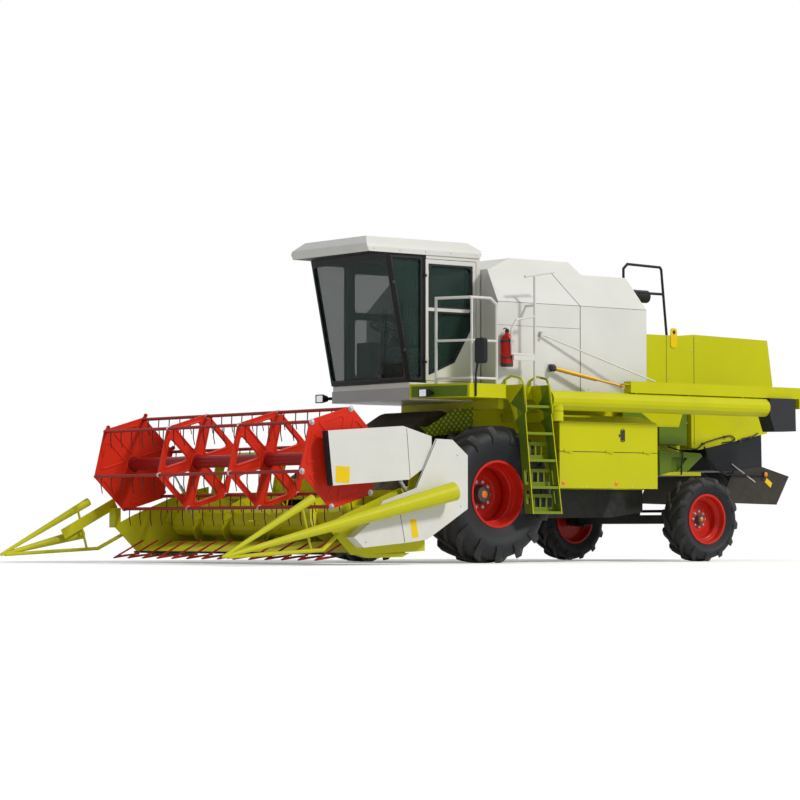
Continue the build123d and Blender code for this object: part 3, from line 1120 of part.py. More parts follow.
def reel_arms():
    """The two arms on their cross tube, the fixed eccentric on the right one, and the left cover."""
    reel_end = (REEL_X + 85, REEL_Z - 6)
    foot = (ARM_PIVOT_X - 60, ARM_PIVOT_Z + 6)
    out_y = ARM_IN_Y + ARM_W
    parts = [disc_at(ARM_PIVOT_X, ARM_PIVOT_Z, ARM_TUBE_R, -out_y, out_y)]
    for sign in (1, -1):
        parts.append(bar(foot, reel_end, ARM_DEPTH, *side_span(sign, ARM_IN_Y, out_y)))
        parts.append(block(REEL_EYE_X - 22, REEL_EYE_X + 22, *side_span(sign, ARM_IN_Y, REEL_CYL_Y - 14),
                           REEL_EYE_Z - 25, REEL_EYE_Z + 70))
        pin_y = side_span(sign, REEL_CYL_Y - 15, REEL_CYL_Y + 18)
        parts.append(disc_at(REEL_EYE_X, REEL_EYE_Z, REEL_EYE_PIN_R, *pin_y))
    sx = REEL_X + CRANK * cos(radians(CRANK_TURN))
    sz = REEL_Z + CRANK * sin(radians(CRANK_TURN))
    parts.append(disc_at(sx, sz, ECCENTRIC_R, STAR_Y - CRANK_T, STAR_Y))
    parts.append(post((REEL_X, -ARM_IN_Y - 1, REEL_Z), (REEL_X, STAR_Y - CRANK_T + 1, REEL_Z), 48))
    for bx in (1950, 2450):
        parts.append(block(bx, bx + 60, out_y - 1, GUARD_OUT_Y - 8 - SEAT_GAP, 1180, 1230))
    bore = disc_at(REEL_X, REEL_Z, REEL_SHAFT_R + PIN_GAP, -3000, 3000)
    save("reel_arms", parts[0].fuse(*parts[1:]) - bore)

    outline = [(3048, 1435), (2034, 1505), (1640, 1400), (1640, 1120), (1954, 925), (2981, 850)]
    wall = 8.0
    inside_y = ARM_IN_Y - 10
    full = slab("y", outline, ARM_IN_Y - 5, GUARD_OUT_Y)
    hollow = slab("y", shrink(outline, wall), inside_y, GUARD_OUT_Y - wall)
    below = slab("y", [(1600, 1090), (1960, 930 + wall), (2950, 850 + 2 * wall), (2950, 800), (1600, 800)],
                 inside_y, GUARD_OUT_Y - wall)
    back = block(1600, 1660, inside_y, GUARD_OUT_Y - wall, 1100, 1380)
    save("reel_guard", full - hollow - below - back)


def cylinder(name, base, eye, ys, radius, rod_r, share, tail, base_pin_r, pin_to, eye_pin_r, half_w):
    """A pair of hydraulic cylinders in (x, z): barrels with bored or pinned eyes, rods with open eyes."""
    length = hypot(eye[0] - base[0], eye[1] - base[1])
    ux, uz = (eye[0] - base[0]) / length, (eye[1] - base[1]) / length

    def along(s, y):
        return base[0] + ux * s, y, base[1] + uz * s

    barrels, rods = [], []
    for y in ys:
        barrel = post(along(radius, y), along(length * share, y), radius)
        barrel = barrel.fuse(disc_at(*base, radius + 6, y - half_w, y + half_w))
        if pin_to is None:
            barrel -= disc_at(*base, base_pin_r + PIN_GAP, y - 60, y + 60)
        else:
            sign = 1 if y > 0 else -1
            barrel = barrel.fuse(disc_at(*base, base_pin_r, *side_span(sign, pin_to, abs(y))))
        barrel -= rod(along(length * tail - 8, y), along(length * share + 1, y), rod_r + PIN_GAP)
        barrels.append(barrel)
        shaft = rod(along(length * tail, y), along(length - eye_pin_r - EYE_SLACK - 5, y), rod_r)
        shaft = shaft.fuse(disc_at(*eye, eye_pin_r + EYE_SLACK + 14, y - half_w, y + half_w))
        rods.append(shaft - disc_at(*eye, eye_pin_r + EYE_SLACK, y - 60, y + 60))
    save(f"{name}_barrels", *barrels)
    save(f"{name}_rods", *rods)


def upright(centre, radius, half_h):
    """A truly round disc about a vertical axis."""
    x, y, z = centre
    return rod((x, y, z - half_h), (x, y, z + half_h), radius)


def swing_cylinder():
    """The cylinder that swings the unloading auger, and the long stay above it."""
    base = Vector(SWING_BASE_X, SWING_BASE_Y, SWING_BASE_Z)
    eye = Vector(SWING_EYE_X, SPOUT_Y, SWING_EYE_Z)
    way = (eye - base).normalized()
    length = (eye - base).length

    def along(share):
        return tuple(base + way * (share * length))

    levels = [
        # height from the middle, radius
        (-SWING_KNOB_H, 0.6 * SWING_KNOB_R),
        (-0.4 * SWING_KNOB_H, SWING_KNOB_R),
        (0.4 * SWING_KNOB_H, SWING_KNOB_R),
        (SWING_KNOB_H, 0.6 * SWING_KNOB_R),
    ]
    knob = skin([ring(base + Vector(0, 0, z), Vector(0, 0, 1), r, 16) for z, r in levels])
    barrel = post(tuple(base + way * 20), along(0.62), 24).fuse(knob)
    barrel -= rod(along(0.27), along(0.63), SWING_ROD_R + PIN_GAP)
    barrel -= upright(tuple(base), SWING_PIN_R + PIN_GAP, 2 * SWING_KNOB_H)
    save("swing_barrel", barrel)
    shaft = rod(along(0.29), tuple(eye - way * 12), SWING_ROD_R)
    save("swing_rod", shaft.fuse(upright(tuple(eye), SWING_BOSS_R, SWING_BOSS_H)))

    stay_eye = (STAY_X, STAY_Y, STAY_Z)
    stay = pipe([stay_eye, (STAY_FOOT_X, SPOUT_Y, STAY_FOOT_Z)], STAY_R)
    stay = stay.fuse(upright(stay_eye, STAY_EYE_R, STAY_EYE_H))
    save("auger_stay", stay - upright(stay_eye, STAY_PIN_R + PIN_GAP, 2 * STAY_EYE_H))


def chopper():
    """The straw chopper under the hood and its deflector with two side plates."""
    y, r = HOOD_HALF_W - SHEET - SEAT_GAP, CHOPPER_REAR_X
    housing = slab("y", [(r + 1433, 1290), (r + 1433, 1440), (r + 473, 1612), (r + 463, 1160),
                         (r + 963, 1105),
                         (r + 1333, 1120)], -y, y)
    side = [(r + 966, 1125), (r + 493, 1182), (r, 1061), (r + 221, 702), (r + 1207, 722), (r + 1067, 975)]
    cheeks = [slab("y", side, *side_span(sign, y - 1, HOOD_HALF_W)) for sign in (1, -1)]
    lid = slab("y", [(r + 483, 1150), (r, 1061), (r, 1046), (r + 483, 1132)], -y, y)
    fins = [slab("y", [(r + 693, 1150), (r + 483, 1140), (r + 43, 1062), (r + 213, 800)], fy - 4, fy + 4)
            for fy in (-450, -150, 150, 450)]
    save("chopper", housing.fuse(lid, *cheeks, *fins))


wheels()
front_axle()
rear_axle()
frame()
body()
hood()
tank()
cab()
cab_fittings()
platform()
railing()
fittings()
unloader()
feeder()
header_frame()
cutterbar()
dividers()
end_cover()
table_auger()
reel()
reel_arms()
cylinder("lift", (LIFT_BASE_X, LIFT_BASE_Z), (LIFT_EYE_X, LIFT_EYE_Z), (-LIFT_Y, LIFT_Y), 45.0, 22.0, 0.62,
         0.31, LIFT_PIN_R, None, LIFT_EYE_PIN_R, 20.0)
cylinder("reel_lift", (REEL_CYL_X, REEL_CYL_Z), (REEL_EYE_X, REEL_EYE_Z), (-REEL_CYL_Y, REEL_CYL_Y),
         22.0, 12.0, 0.62, 0.24, REEL_CYL_PIN_R, HEADER_HALF_W - SHEET - 5, REEL_EYE_PIN_R, 12.0)
swing_cylinder()
chopper()
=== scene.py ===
# %% [markdown]
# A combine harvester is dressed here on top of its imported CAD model. The CAD model is the frame:
# every node is already in metres, in its final place, and rides on its own body. This lesson adds
# finishes, and fine forms that suit surface maths better than solids.

# %% Load the frame
import json
import math
from types import SimpleNamespace

import bpy
import numpy as np
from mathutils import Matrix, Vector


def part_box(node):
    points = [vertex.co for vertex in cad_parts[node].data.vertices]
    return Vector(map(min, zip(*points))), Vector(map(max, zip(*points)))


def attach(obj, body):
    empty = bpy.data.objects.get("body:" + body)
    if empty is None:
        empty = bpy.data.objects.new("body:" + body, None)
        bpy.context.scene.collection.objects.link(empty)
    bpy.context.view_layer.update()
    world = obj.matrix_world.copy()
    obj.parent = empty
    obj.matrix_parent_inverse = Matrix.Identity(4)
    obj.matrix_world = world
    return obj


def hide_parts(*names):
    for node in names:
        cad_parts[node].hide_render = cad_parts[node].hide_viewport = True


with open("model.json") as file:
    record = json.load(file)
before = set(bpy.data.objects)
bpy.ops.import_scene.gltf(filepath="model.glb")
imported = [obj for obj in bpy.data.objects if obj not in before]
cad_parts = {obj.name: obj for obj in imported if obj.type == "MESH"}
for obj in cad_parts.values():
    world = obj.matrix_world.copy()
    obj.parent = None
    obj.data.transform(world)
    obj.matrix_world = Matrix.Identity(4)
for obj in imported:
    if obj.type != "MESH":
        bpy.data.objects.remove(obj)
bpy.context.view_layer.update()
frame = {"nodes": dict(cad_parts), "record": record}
nodes = frame["nodes"]

# %% Shared measures
# Millimetres from the ground under the front axle. The frame lies SHIFT metres further forward.
SHIFT = 0.4565
TANK_Y, PANEL_Y, HOOD_Y, GUARD_Y, COVER_Y = 1250.0, 1350.0, 750.0, 2215.0, 2240.0
REEL_X, REEL_Z, REEL_R, REEL_TURN = 2741.0, 1156.0, 544.0, 43.7
PLATE_Y, END_PLATE_Y = 700.0, 2030.0
SIDES = (("left", 1), ("right", -1))
ALONG_Y, UPRIGHT = (0.0, 1.0, 0.0), (0.0, 0.0, 1.0)
print("reel turns about", REEL_X, REEL_Z)

# %% [markdown]
# The camera stands where the photographer stood: far off to the machine's left front, low, with a
# long lens. Its place was worked out from lengths that are known on the machine, such as the track,
# the wheelbase and the cutting width, not found by eye.

# %% Camera
scene = bpy.context.scene
camera_data = bpy.data.cameras.new("Camera")
camera = bpy.data.objects.new("Camera", camera_data)
scene.collection.objects.link(camera)
yaw, pitch = math.radians(37.997), math.radians(2.493)
focal_pixels, frame_pixels, sensor_mm = 3028.5, 800, 36.0
camera.location = (22.7005, 28.029, 0.359)
camera.rotation_euler = (math.pi / 2 + pitch, 0.0, math.pi - yaw)
camera_data.sensor_width = sensor_mm
camera_data.lens = focal_pixels / frame_pixels * sensor_mm
camera_data.clip_end = 300.0
scene.camera = camera
print("lens", round(camera_data.lens, 2), "mm")

# %% [markdown]
# A shader is a small program, so it is written as one. A Wire is a socket with arithmetic: adding
# or multiplying Wires puts the Math nodes into the tree. One method, make, adds any other node.
# Linked one by one, the nodes of a pattern would fill a page.

# %% Shader sums as expressions


class Wire:
    """A number or colour that runs through a node tree."""

    def __init__(self, tree, socket):
        self.tree = tree
        self.socket = socket

    def sum(self, operation, other, swapped=False):
        """Adds a Math node for this Wire and another value, or the two swapped."""
        made = self.tree.nodes.new("ShaderNodeMath")
        made.operation = operation
        for slot, value in zip(made.inputs, (other, self) if swapped else (self, other)):
            plug(self.tree, slot, value)
        return Wire(self.tree, made.outputs[0])

    def __add__(self, other):
        return self.sum("ADD", other)

    __radd__ = __add__

    def __mul__(self, other):
        return self.sum("MULTIPLY", other)

    __rmul__ = __mul__

    def __sub__(self, other):
        return self.sum("SUBTRACT", other)

    def __rsub__(self, other):
        return self.sum("SUBTRACT", other, True)

    def __gt__(self, other):
        return self.sum("GREATER_THAN", other)

    def __lt__(self, other):
        return self.sum("LESS_THAN", other)

    def __abs__(self):
        return self.sum("ABSOLUTE", 0.0)


def plug(tree, slot, value):
    """Links a Wire to a socket, or sets the socket's own value."""
    if isinstance(value, Wire):
        tree.links.new(value.socket, slot)
    elif isinstance(value, (tuple, list)) and len(value) == 3 and slot.type == "RGBA":
        slot.default_value = (*value, 1.0)
    else:
        slot.default_value = value


class Finish:
    """A material with a Principled shader and the Wires that its pattern is made of."""

    def __init__(self, name, **sockets):
        self.material = bpy.data.materials.new(name)
        self.material.use_nodes = True
        self.tree = self.material.node_tree
        self.shader = self.tree.nodes["Principled BSDF"]
        self.set(**sockets)
        self.place = self.make("ShaderNodeTexCoord", out="Object")

    def make(self, kind, settings=None, out=0, **sockets):
        """Adds a node: its settings first, then its sockets by name, or as i0, i1 by number."""
        made = self.tree.nodes.new(kind)
        for key, value in (settings or {}).items():
            setattr(made, key, value)
        for key, value in sockets.items():
            slot = int(key[1:]) if key[1:].isdigit() else key.replace("_", " ")
            plug(self.tree, made.inputs[slot], value)
        return Wire(self.tree, made.outputs[out])

    def noise(self, scale, detail=3.0, rough=0.5, where=None):
        """A cloudy pattern from 0 to 1 with so many spots to a metre."""
        sockets = {"Scale": scale, "Detail": detail, "Roughness": rough}
        return self.make("ShaderNodeTexNoise", Vector=where or self.place, **sockets)

    def blend(self, amount, first, second):
        """A colour between two, by a Wire from 0 to 1."""
        return self.make("ShaderNodeMix", {"data_type": "RGBA"}, out=2, i0=amount, i6=first, i7=second)

    def clamp(self, value, low=0.0, high=1.0):
        return self.make("ShaderNodeClamp", Value=value, Min=low, Max=high)

    def axis(self, name):
        """One coordinate of the piece, in metres."""
        made = self.tree.nodes.new("ShaderNodeSeparateXYZ")
        plug(self.tree, made.inputs[0], self.place)
        return Wire(self.tree, made.outputs[name])

    def set(self, **sockets):
        for key, value in sockets.items():
            plug(self.tree, self.shader.inputs[key.replace("_", " ")], value)
        return self

    def bump(self, height, distance, strength=1.0):
        """Small relief: the height pattern, so many metres deep."""
        relief = {"Height": height, "Distance": distance, "Strength": strength}
        return self.set(Normal=self.make("ShaderNodeBump", **relief))


print("shader classes ready")

# %% [markdown]
# Light is soft and plain. One wide sun comes from the photographer's right and a little behind, and
# a pale sky fills the shadows. The sky is white to the camera, to glass and to glossy paint, and
# dimmer where it only lights the machine.

# %% Sky
scene.view_settings.view_transform = "Standard"
FILL_STRENGTH = 0.42
world = bpy.data.worlds.new("Sky")
scene.world = world
world.use_nodes = True
tree = world.node_tree
tree.nodes.clear()


def backlight(colour, strength):
    """A background of one colour."""
    made = tree.nodes.new("ShaderNodeBackground")
    plug(tree, made.inputs["Color"], colour)
    plug(tree, made.inputs["Strength"], strength)
    return Wire(tree, made.outputs[0])


path = tree.nodes.new("ShaderNodeLightPath")
kinds = ("Camera", "Transmission", "Glossy")
seen, through, mirrored = (Wire(tree, path.outputs[f"Is {kind} Ray"]) for kind in kinds)
either = tree.nodes.new("ShaderNodeMixShader")
plug(tree, either.inputs[0], seen + through + mirrored)
plug(tree, either.inputs[1], backlight((0.90, 0.95, 1.0), FILL_STRENGTH))
plug(tree, either.inputs[2], backlight((1.0, 1.0, 1.0), 1.0))
tree.links.new(either.outputs[0], tree.nodes.new("ShaderNodeOutputWorld").inputs[0])
print("sky fill", FILL_STRENGTH)

# %% Sun and floor
sun_data = bpy.data.lights.new("Sun", "SUN")
sun_data.energy = 2.3
sun_data.angle = math.radians(9.0)
sun_data.color = (1.0, 0.97, 0.92)
sun = bpy.data.objects.new("Sun", sun_data)
scene.collection.objects.link(sun)
sun_from = np.array([-0.42, 0.72, 0.78])
sun.rotation_euler = (
    math.acos(sun_from[2] / np.linalg.norm(sun_from)),
    0.0,
    math.atan2(sun_from[1], sun_from[0]) + math.pi / 2,
)
floor_mesh = bpy.data.meshes.new("Floor")
reach = 150.0
floor_corners = [(x * reach, y * reach, 0) for x, y in ((-1, -1), (1, -1), (1, 1), (-1, 1))]
floor_mesh.from_pydata(floor_corners, [], [(0, 1, 2, 3)])
floor = bpy.data.objects.new("Floor", floor_mesh)
scene.collection.objects.link(floor)
print("sun from", sun_from)

# %% [markdown]
# Sprayed paint on pressed sheet is never one flat tone. A slow noise shifts the colour a little, a
# finer one gives orange peel under the clear coat, and field dust gathers towards the ground. One
# recipe serves every painted part, so they age alike. Where one part carries two paints, a mask on
# its own coordinates chooses between them, and the mask stays put as the part moves. On the
# platform the second paint is also painted shade on the ladder's cheeks.

# %% Paint and its masks
DUST = (0.30, 0.26, 0.18)
LIME = (0.575, 0.570, 0.002)
# Leaf green is a paint of its own on gussets, hood cheeks and valance, and painted shade on the ladder.
LEAF = (0.120, 0.190, 0.012)
CREAM = (0.74, 0.735, 0.69)
BLACK = (0.006, 0.0065, 0.0075)


def paint(name, colour, rough=0.38, coat=0.07, dust=0.10, dust_top=1.5, second=None, mask=None):
    """Paint with a coat: colour * (1 + slow noise), dust rising as the height falls below dust_top."""
    look = Finish(name, Metallic=0.0, Coat_Roughness=0.15, IOR=1.45, Specular_IOR_Level=0.16)
    slow = look.noise(1.7, 4.0)
    tone = look.blend(look.clamp(slow * 1.6 - 0.35), tuple(0.88 * c for c in colour), colour)
    if second:
        tone = look.blend(mask(look), tone, second)
    settled = look.clamp((dust_top - look.axis("Z")) * (dust / dust_top))
    speckle = look.clamp(look.noise(9.0, 6.0, 0.65) * 2.2 - 0.7)
    soiled = look.clamp(settled * speckle * 2.0 + settled * 0.25)
    look.set(Base_Color=look.blend(soiled, tone, DUST))
    look.set(Roughness=look.clamp(rough + 0.10 * slow + 0.45 * soiled, 0.05, 0.95))
    look.set(Coat_Weight=look.clamp(coat - 1.2 * soiled))
    look.bump(look.noise(420.0, 2.0), 0.0004, 0.25)
    return look.material


def front_of_cab(look):
    """1 in front of the door and on the inside of the cab, above its floor: those parts are black."""
    x, y, z = look.axis("X"), look.axis("Y"), look.axis("Z")
    door_front, cab_back, cab_floor, inner_y = 0.535, -0.262, 2.075, 0.7255
    inside = (abs(y) < inner_y) * (x > cab_back + SHIFT)
    return look.clamp((x > door_front + SHIFT) + inside) * (z > cab_floor)


def guard_dots_and_ladder_shade(look):
    """1 on the guard beside the feeder between its staggered bright dots, and on the ladder's side as
    painted shade.
    """
    x, y, z = look.axis("X"), look.axis("Y"), look.axis("Z")
    guard = (abs(y - 0.718) < 0.006) * (abs(z - 1.63) < 0.19)
    slanted = (0.0, math.radians(38.0), 0.0)
    turned = look.make("ShaderNodeMapping", Vector=look.place, Rotation=slanted)
    flat = look.make("ShaderNodeVectorMath", {"operation": "MULTIPLY"}, i0=turned, i1=(1.0, 0.0, 1.0))
    cell = look.make("ShaderNodeTexVoronoi", Vector=flat, Scale=19.0, Randomness=0.0)
    dot = (cell < 0.30) * (look.noise(5.0) > 0.42)
    # Painted shade: the ladder's cheek sides are mostly leaf green for the shade they stand in.
    ladder_cheek_shade = (x < -0.22 + SHIFT) * (y > 1.4525) * (y < 1.588)
    return look.clamp(guard * (1.0 - dot) + 0.85 * ladder_cheek_shade)


def body_foot(look):
    """1 below the side panels' lower edge, where the body is dark."""
    return look.axis("Z") < 0.8705


def near_reel_axis(look):
    """1 within 90 mm of the reel's axis: the tube is darker than the plates."""
    x, z = look.axis("X") - (REEL_X / 1000 + SHIFT), look.axis("Z") - REEL_Z / 1000
    return (x * x + z * z) < 0.09 ** 2


print("dust colour", DUST)

# %% Paints
lime = paint("Lime paint", LIME)
leaf = paint("Leaf green paint", LEAF, rough=0.42)
# On the platform, leaf green fills the guard between its dots and is painted shade on the ladder's cheeks.
platform_lime = paint("Platform paint", LIME, second=LEAF, mask=guard_dots_and_ladder_shade)
thresher_lime = paint("Thresher paint", LIME, second=(0.022, 0.025, 0.028), mask=body_foot)
cream = paint("Cream white paint", CREAM, rough=0.32, dust=0.08)
cab_cream = paint("Cab paint", CREAM, rough=0.32, dust=0.05, second=BLACK, mask=front_of_cab)
tube_red = (0.30, 0.010, 0.010)
reel_red = paint(
    "Reel red paint", (0.70, 0.026, 0.008), rough=0.36, dust=0.04, second=tube_red, mask=near_reel_axis
)
bat_red = paint("Bat red paint", (0.33, 0.014, 0.010), rough=0.42, dust=0.06)
wheel_red = paint("Wheel red paint", (0.60, 0.014, 0.006), rough=0.30, coat=0.15, dust=0.06)
charcoal = paint("Charcoal chassis paint", (0.014, 0.017, 0.021), rough=0.42, coat=0.08, dust=0.08)
tine_dark = paint("Tine brown paint", (0.060, 0.014, 0.011), rough=0.5, coat=0.0, dust=0.06)
hub_grey = paint("Hub grey paint", (0.085, 0.080, 0.076), rough=0.4, coat=0.05, dust=0.10)
# Painted shade: a dark brown that stands in for the shadow on the lime feeder house, with real dust on it.
shade = paint("Dusty painted shade", (0.045, 0.034, 0.024), rough=0.7, coat=0.0, dust=0.3, dust_top=2.5)
umber = paint("Deflector paint", (0.036, 0.032, 0.028), rough=0.5, coat=0.08)
silver = paint("Silver grey panel paint", (0.40, 0.39, 0.40), rough=0.34, coat=0.3, dust=0.05)
signal = paint("Signal yellow paint", (0.86, 0.60, 0.004), rough=0.4, dust=0.04)
print("paints", len(bpy.data.materials))

# %% [markdown]
# Tyre rubber is dark and dull, with a little dry earth on its tread. The new tyres carry an
# attribute, wall, that is 0 at the bead and 1 at the tread, so that the sidewall's fine rings and
# the dusty lugs follow the tyre as it turns. Plastic, plated metal and tinted glass follow. Every
# CAD node names its slot, so one table finishes most of the machine, and a few nodes have their own.

# %% Rubber, plastic, glass and bare metal


def rubber(name, colour=(0.010, 0.0115, 0.014), dust=0.13, rings=False):
    """Rubber: dark, rough, with fine grain and dust in patches, and rings on a tyre's sidewall."""
    look = Finish(name, Metallic=0.0, IOR=1.45, Specular_IOR_Level=0.35)
    patches = look.clamp(look.noise(6.0, 6.0, 0.7) * 2.0 - 0.75)
    grain = look.noise(260.0, 3.0)
    if rings:
        wall = look.make("ShaderNodeAttribute", {"attribute_name": "wall"}, out="Fac")
        soiled = look.clamp(look.clamp(wall * 3.0 - 1.9) * (patches * 0.5 + 0.30) * dust * 2.0)
        wave = (wall * 150.0).sum("SINE", 0.0) * look.clamp((0.42 - wall) * 8.0)
        look.bump(grain + wave * 0.9, 0.0016, 0.7)
    else:
        soiled = look.clamp(patches * dust)
        look.bump(grain, 0.0008, 0.5)
    look.set(Base_Color=look.blend(soiled, colour, (0.16, 0.135, 0.10)))
    return look.set(Roughness=look.clamp(0.55 + 0.35 * soiled + 0.08 * look.noise(60.0))).material


def plastic(name, colour, rough=0.5):
    """Moulded plastic with a fine leather-like grain."""
    look = Finish(name, Metallic=0.0)
    grain = look.make("ShaderNodeTexVoronoi", Vector=look.place, Scale=380.0)
    look.set(Base_Color=look.blend(look.noise(4.0), tuple(0.8 * c for c in colour), colour))
    look.set(Roughness=rough + 0.15 * grain)
    return look.bump(grain, 0.0005, 0.4).material


def metal(name, colour, rough=0.32):
    """Bare or plated metal with fine streaks and dull patches."""
    look = Finish(name, Metallic=1.0)
    stretch = look.make("ShaderNodeMapping", Vector=look.place, Scale=(6.0, 90.0, 90.0))
    lines = look.noise(1.0, 3.0, where=stretch)
    patches = look.noise(7.0, 4.0)
    dull = tuple(0.72 * c for c in colour)
    look.set(Base_Color=look.blend(look.clamp(patches * 1.5 - 0.3), dull, colour))
    return look.set(Roughness=look.clamp(rough + 0.16 * lines + 0.14 * patches)).material


tyre_rubber = rubber("Tyre rubber", rings=True)
seal_rubber = rubber("Seal rubber", (0.012, 0.012, 0.013), 0.05)
spout_rubber = rubber("Spout rubber", (0.014, 0.016, 0.020), 0.06)
trim = plastic("Cab trim", (0.020, 0.022, 0.024))
upholstery = plastic("Upholstery cloth", (0.030, 0.032, 0.036), 0.8)
amber = plastic("Amber lens", (0.90, 0.24, 0.01), 0.2)
steel = metal("Bright steel", (0.56, 0.56, 0.57))
chrome = metal("Lamp reflector", (0.78, 0.79, 0.82), 0.12)
plated = metal("Yellow zinc", (0.60, 0.36, 0.06), 0.40)

tinted = Finish("Tinted cab glass", Base_Color=(0.030, 0.062, 0.052), Roughness=0.04, IOR=1.45)
tinted.set(Specular_IOR_Level=0.22, Alpha=tinted.clamp(0.40 + 0.06 * tinted.noise(1.2)))
print("materials", len(bpy.data.materials))

# %% Finishes on the nodes
finishes = dict(
    lime_paint=lime, white_paint=cream, red_paint=reel_red, wheel_paint=wheel_red,
    panel_grey=silver, chassis_paint=charcoal, tyre=tyre_rubber, rubber=spout_rubber,
    cab_glass=tinted.material, cab_trim=trim, steel=steel, plated=plated,
)
own = dict(
    cab_frame=cab_cream, platform=platform_lime, thresher_body=thresher_lime,
    # The feeder house gets the painted shade in place of its lime paint.
    feeder_house=shade, cutterbar=bat_red, extinguisher=wheel_red,
    **{f"bat_{k}": bat_red for k in range(1, 7)},
)
slots = {entry["node"]: entry["material_slot"] for entry in frame["record"]["subparts"]}
for name, obj in nodes.items():
    obj.data.materials.clear()
    obj.data.materials.append(own.get(name, finishes[slots[name]]))
print(len(finishes), "finishes on", len(nodes), "nodes")

# %% [markdown]
# Some nodes change paint where two pressings meet, and the ladder's front faces get painted shade.
# A mask would blur that edge, so their faces are chosen instead, by where their middles lie and which
# way they point, and get a second material.

# %% Paint by region


def tint(name, finish, chosen):
    """Gives a node's faces another finish where chosen(x, y, z, normals) is true, in machine metres."""
    mesh = nodes[name].data
    middles = np.empty(len(mesh.polygons) * 3)
    normals = np.empty(len(mesh.polygons) * 3)
    mesh.polygons.foreach_get("center", middles)
    mesh.polygons.foreach_get("normal", normals)
    x, y, z = (middles.reshape(-1, 3) - (SHIFT, 0.0, 0.0)).T
    faces = np.empty(len(mesh.polygons), np.int32)
    mesh.polygons.foreach_get("material_index", faces)
    hit = chosen(x, y, z, normals.reshape(-1, 3))
    mesh.materials.append(finish)
    faces[hit] = len(mesh.materials) - 1
    mesh.polygons.foreach_set("material_index", faces)
    return int(hit.sum())


regions = {
    "hood cheeks": (
        "straw_hood", leaf,
        lambda x, y, z, n: (abs(y) > 0.7152) & (abs(y) < 0.7795) & (z < 1.70) & (x > -3.60),
    ),
    "lamp carrier": ("straw_hood", charcoal, lambda x, y, z, n: (z < 1.43) & (y > 0.7505) & (x < -3.84)),
    "gussets": ("frame", leaf, lambda x, y, z, n: (abs(y) > 0.7) & (x < -2.8) & (z > 1.06)),
    "gusset foot": ("frame", lime, lambda x, y, z, n: (abs(y) > 0.99) & (x < -2.8) & (z < 1.09)),
    "roof below": ("cab_roof", trim, lambda x, y, z, n: n[:, 2] < -0.5),
    "door handle": ("cab_door", trim, lambda x, y, z, n: (y > 0.733) & (x < 0.2)),
    "guard front": ("reel_guard", charcoal, lambda x, y, z, n: n[:, 0] > 0.5),
    "deflector": ("chopper", umber, lambda x, y, z, n: (abs(y) > 0.7) & (x < -4.36) & (z < 1.2)),
    "swing knob": ("swing_barrel", trim, lambda x, y, z, n: np.hypot(x + 0.9, y - 1.298) < 0.05),
    # Painted shade: the ladder's faces turned to the front, away from the sun, are leaf green.
    "ladder front shade": ("platform", leaf, lambda x, y, z, n: (n[:, 0] > 0.6) & (y > 1.449) & (z < 1.9)),
    "knife": ("cutterbar", charcoal, lambda x, y, z, n: (z < 0.150) & (x < 2.80)),
}
done = {region: tint(*rule) for region, rule in regions.items()}
for k in range(1, 7):
    turn = math.radians(REEL_TURN + 60.0 * (k - 1))
    tube_foot = (REEL_Z + REEL_R * math.sin(turn) - 21.5) / 1000
    done[f"tines {k}"] = tint(f"bat_{k}", tine_dark, lambda x, y, z, n: z < tube_foot)
print(done)

# %% [markdown]
# Every new piece is a closed skin over a grid of points: one index runs along it, the other around
# it. Its ends are capped, or joined into a ring. The sign of its volume says whether its faces
# point outward, so none is inside out. A whole row of equal pieces is one array of such grids. Most
# fittings are a section carried along a line, a profile turned about an axis, or a thick outline.

# %% Grids


def at(x, y, z):
    """Machine millimetres, measured from the ground under the front axle, as points of the frame."""
    return np.stack(np.broadcast_arrays(x, y, z), -1) / 1000.0 + (SHIFT, 0.0, 0.0)


def shell(points, loop=False):
    """Points[..., i, j] with i along and j around: quads between neighbours, and caps or a loop."""
    points = np.asarray(points, float)
    points = points.reshape(-1, *points.shape[-3:])
    copies, n, m, _ = points.shape
    rows, cols = np.arange(n if loop else n - 1)[:, None], np.arange(m)[None, :]
    after, beside = (rows + 1) % n, (cols + 1) % m
    around = [rows * m + cols, rows * m + beside, after * m + beside, after * m + cols]
    quads = np.stack(around, -1).reshape(-1, 4)
    caps = np.zeros((0, m), int) if loop else np.stack([np.arange(m)[::-1], (n - 1) * m + np.arange(m)])
    first = points[0].reshape(-1, 3) - points[0].reshape(-1, 3).mean(0)
    corners = [quads[:, [0, 1, 2]], quads[:, [0, 2, 3]]]
    corners += [caps[:, [0, k, k + 1]] for k in range(1, m - 1)] if len(caps) else []
    volume = np.linalg.det(first[np.concatenate(corners)]).sum()
    if volume < 0:
        quads, caps = quads[:, ::-1], caps[:, ::-1]
    shifts = np.arange(copies)[:, None, None] * (n * m)
    faces = (quads + shifts).reshape(-1, 4).tolist() + (caps + shifts).reshape(-1, m).tolist()
    return points.reshape(-1, 3), faces


def piece(name, shells, finish, body="machine", sharp=35.0, wall=None):
    """One object from closed shells, smooth where its faces meet at less than the sharp angle."""
    points, faces, base = [], [], 0
    for part, part_faces in shells:
        points.append(part)
        faces += [[base + k for k in face] for face in part_faces]
        base += len(part)
    mesh = bpy.data.meshes.new(name)
    mesh.from_pydata(np.concatenate(points).tolist(), [], faces)
    mesh.polygons.foreach_set("use_smooth", np.ones(len(faces), bool))
    mesh.set_sharp_from_angle(angle=math.radians(sharp))
    mesh.materials.append(finish)
    if wall is not None:
        kept = mesh.attributes.new("wall", "FLOAT", "POINT")
        kept.data.foreach_set("value", wall.astype(np.float32))
    made = bpy.data.objects.new(name, mesh)
    scene.collection.objects.link(made)
    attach(made, body)
    return made


print("ground point", at(0, 0, 0))

# %% Sections, profiles and outlines


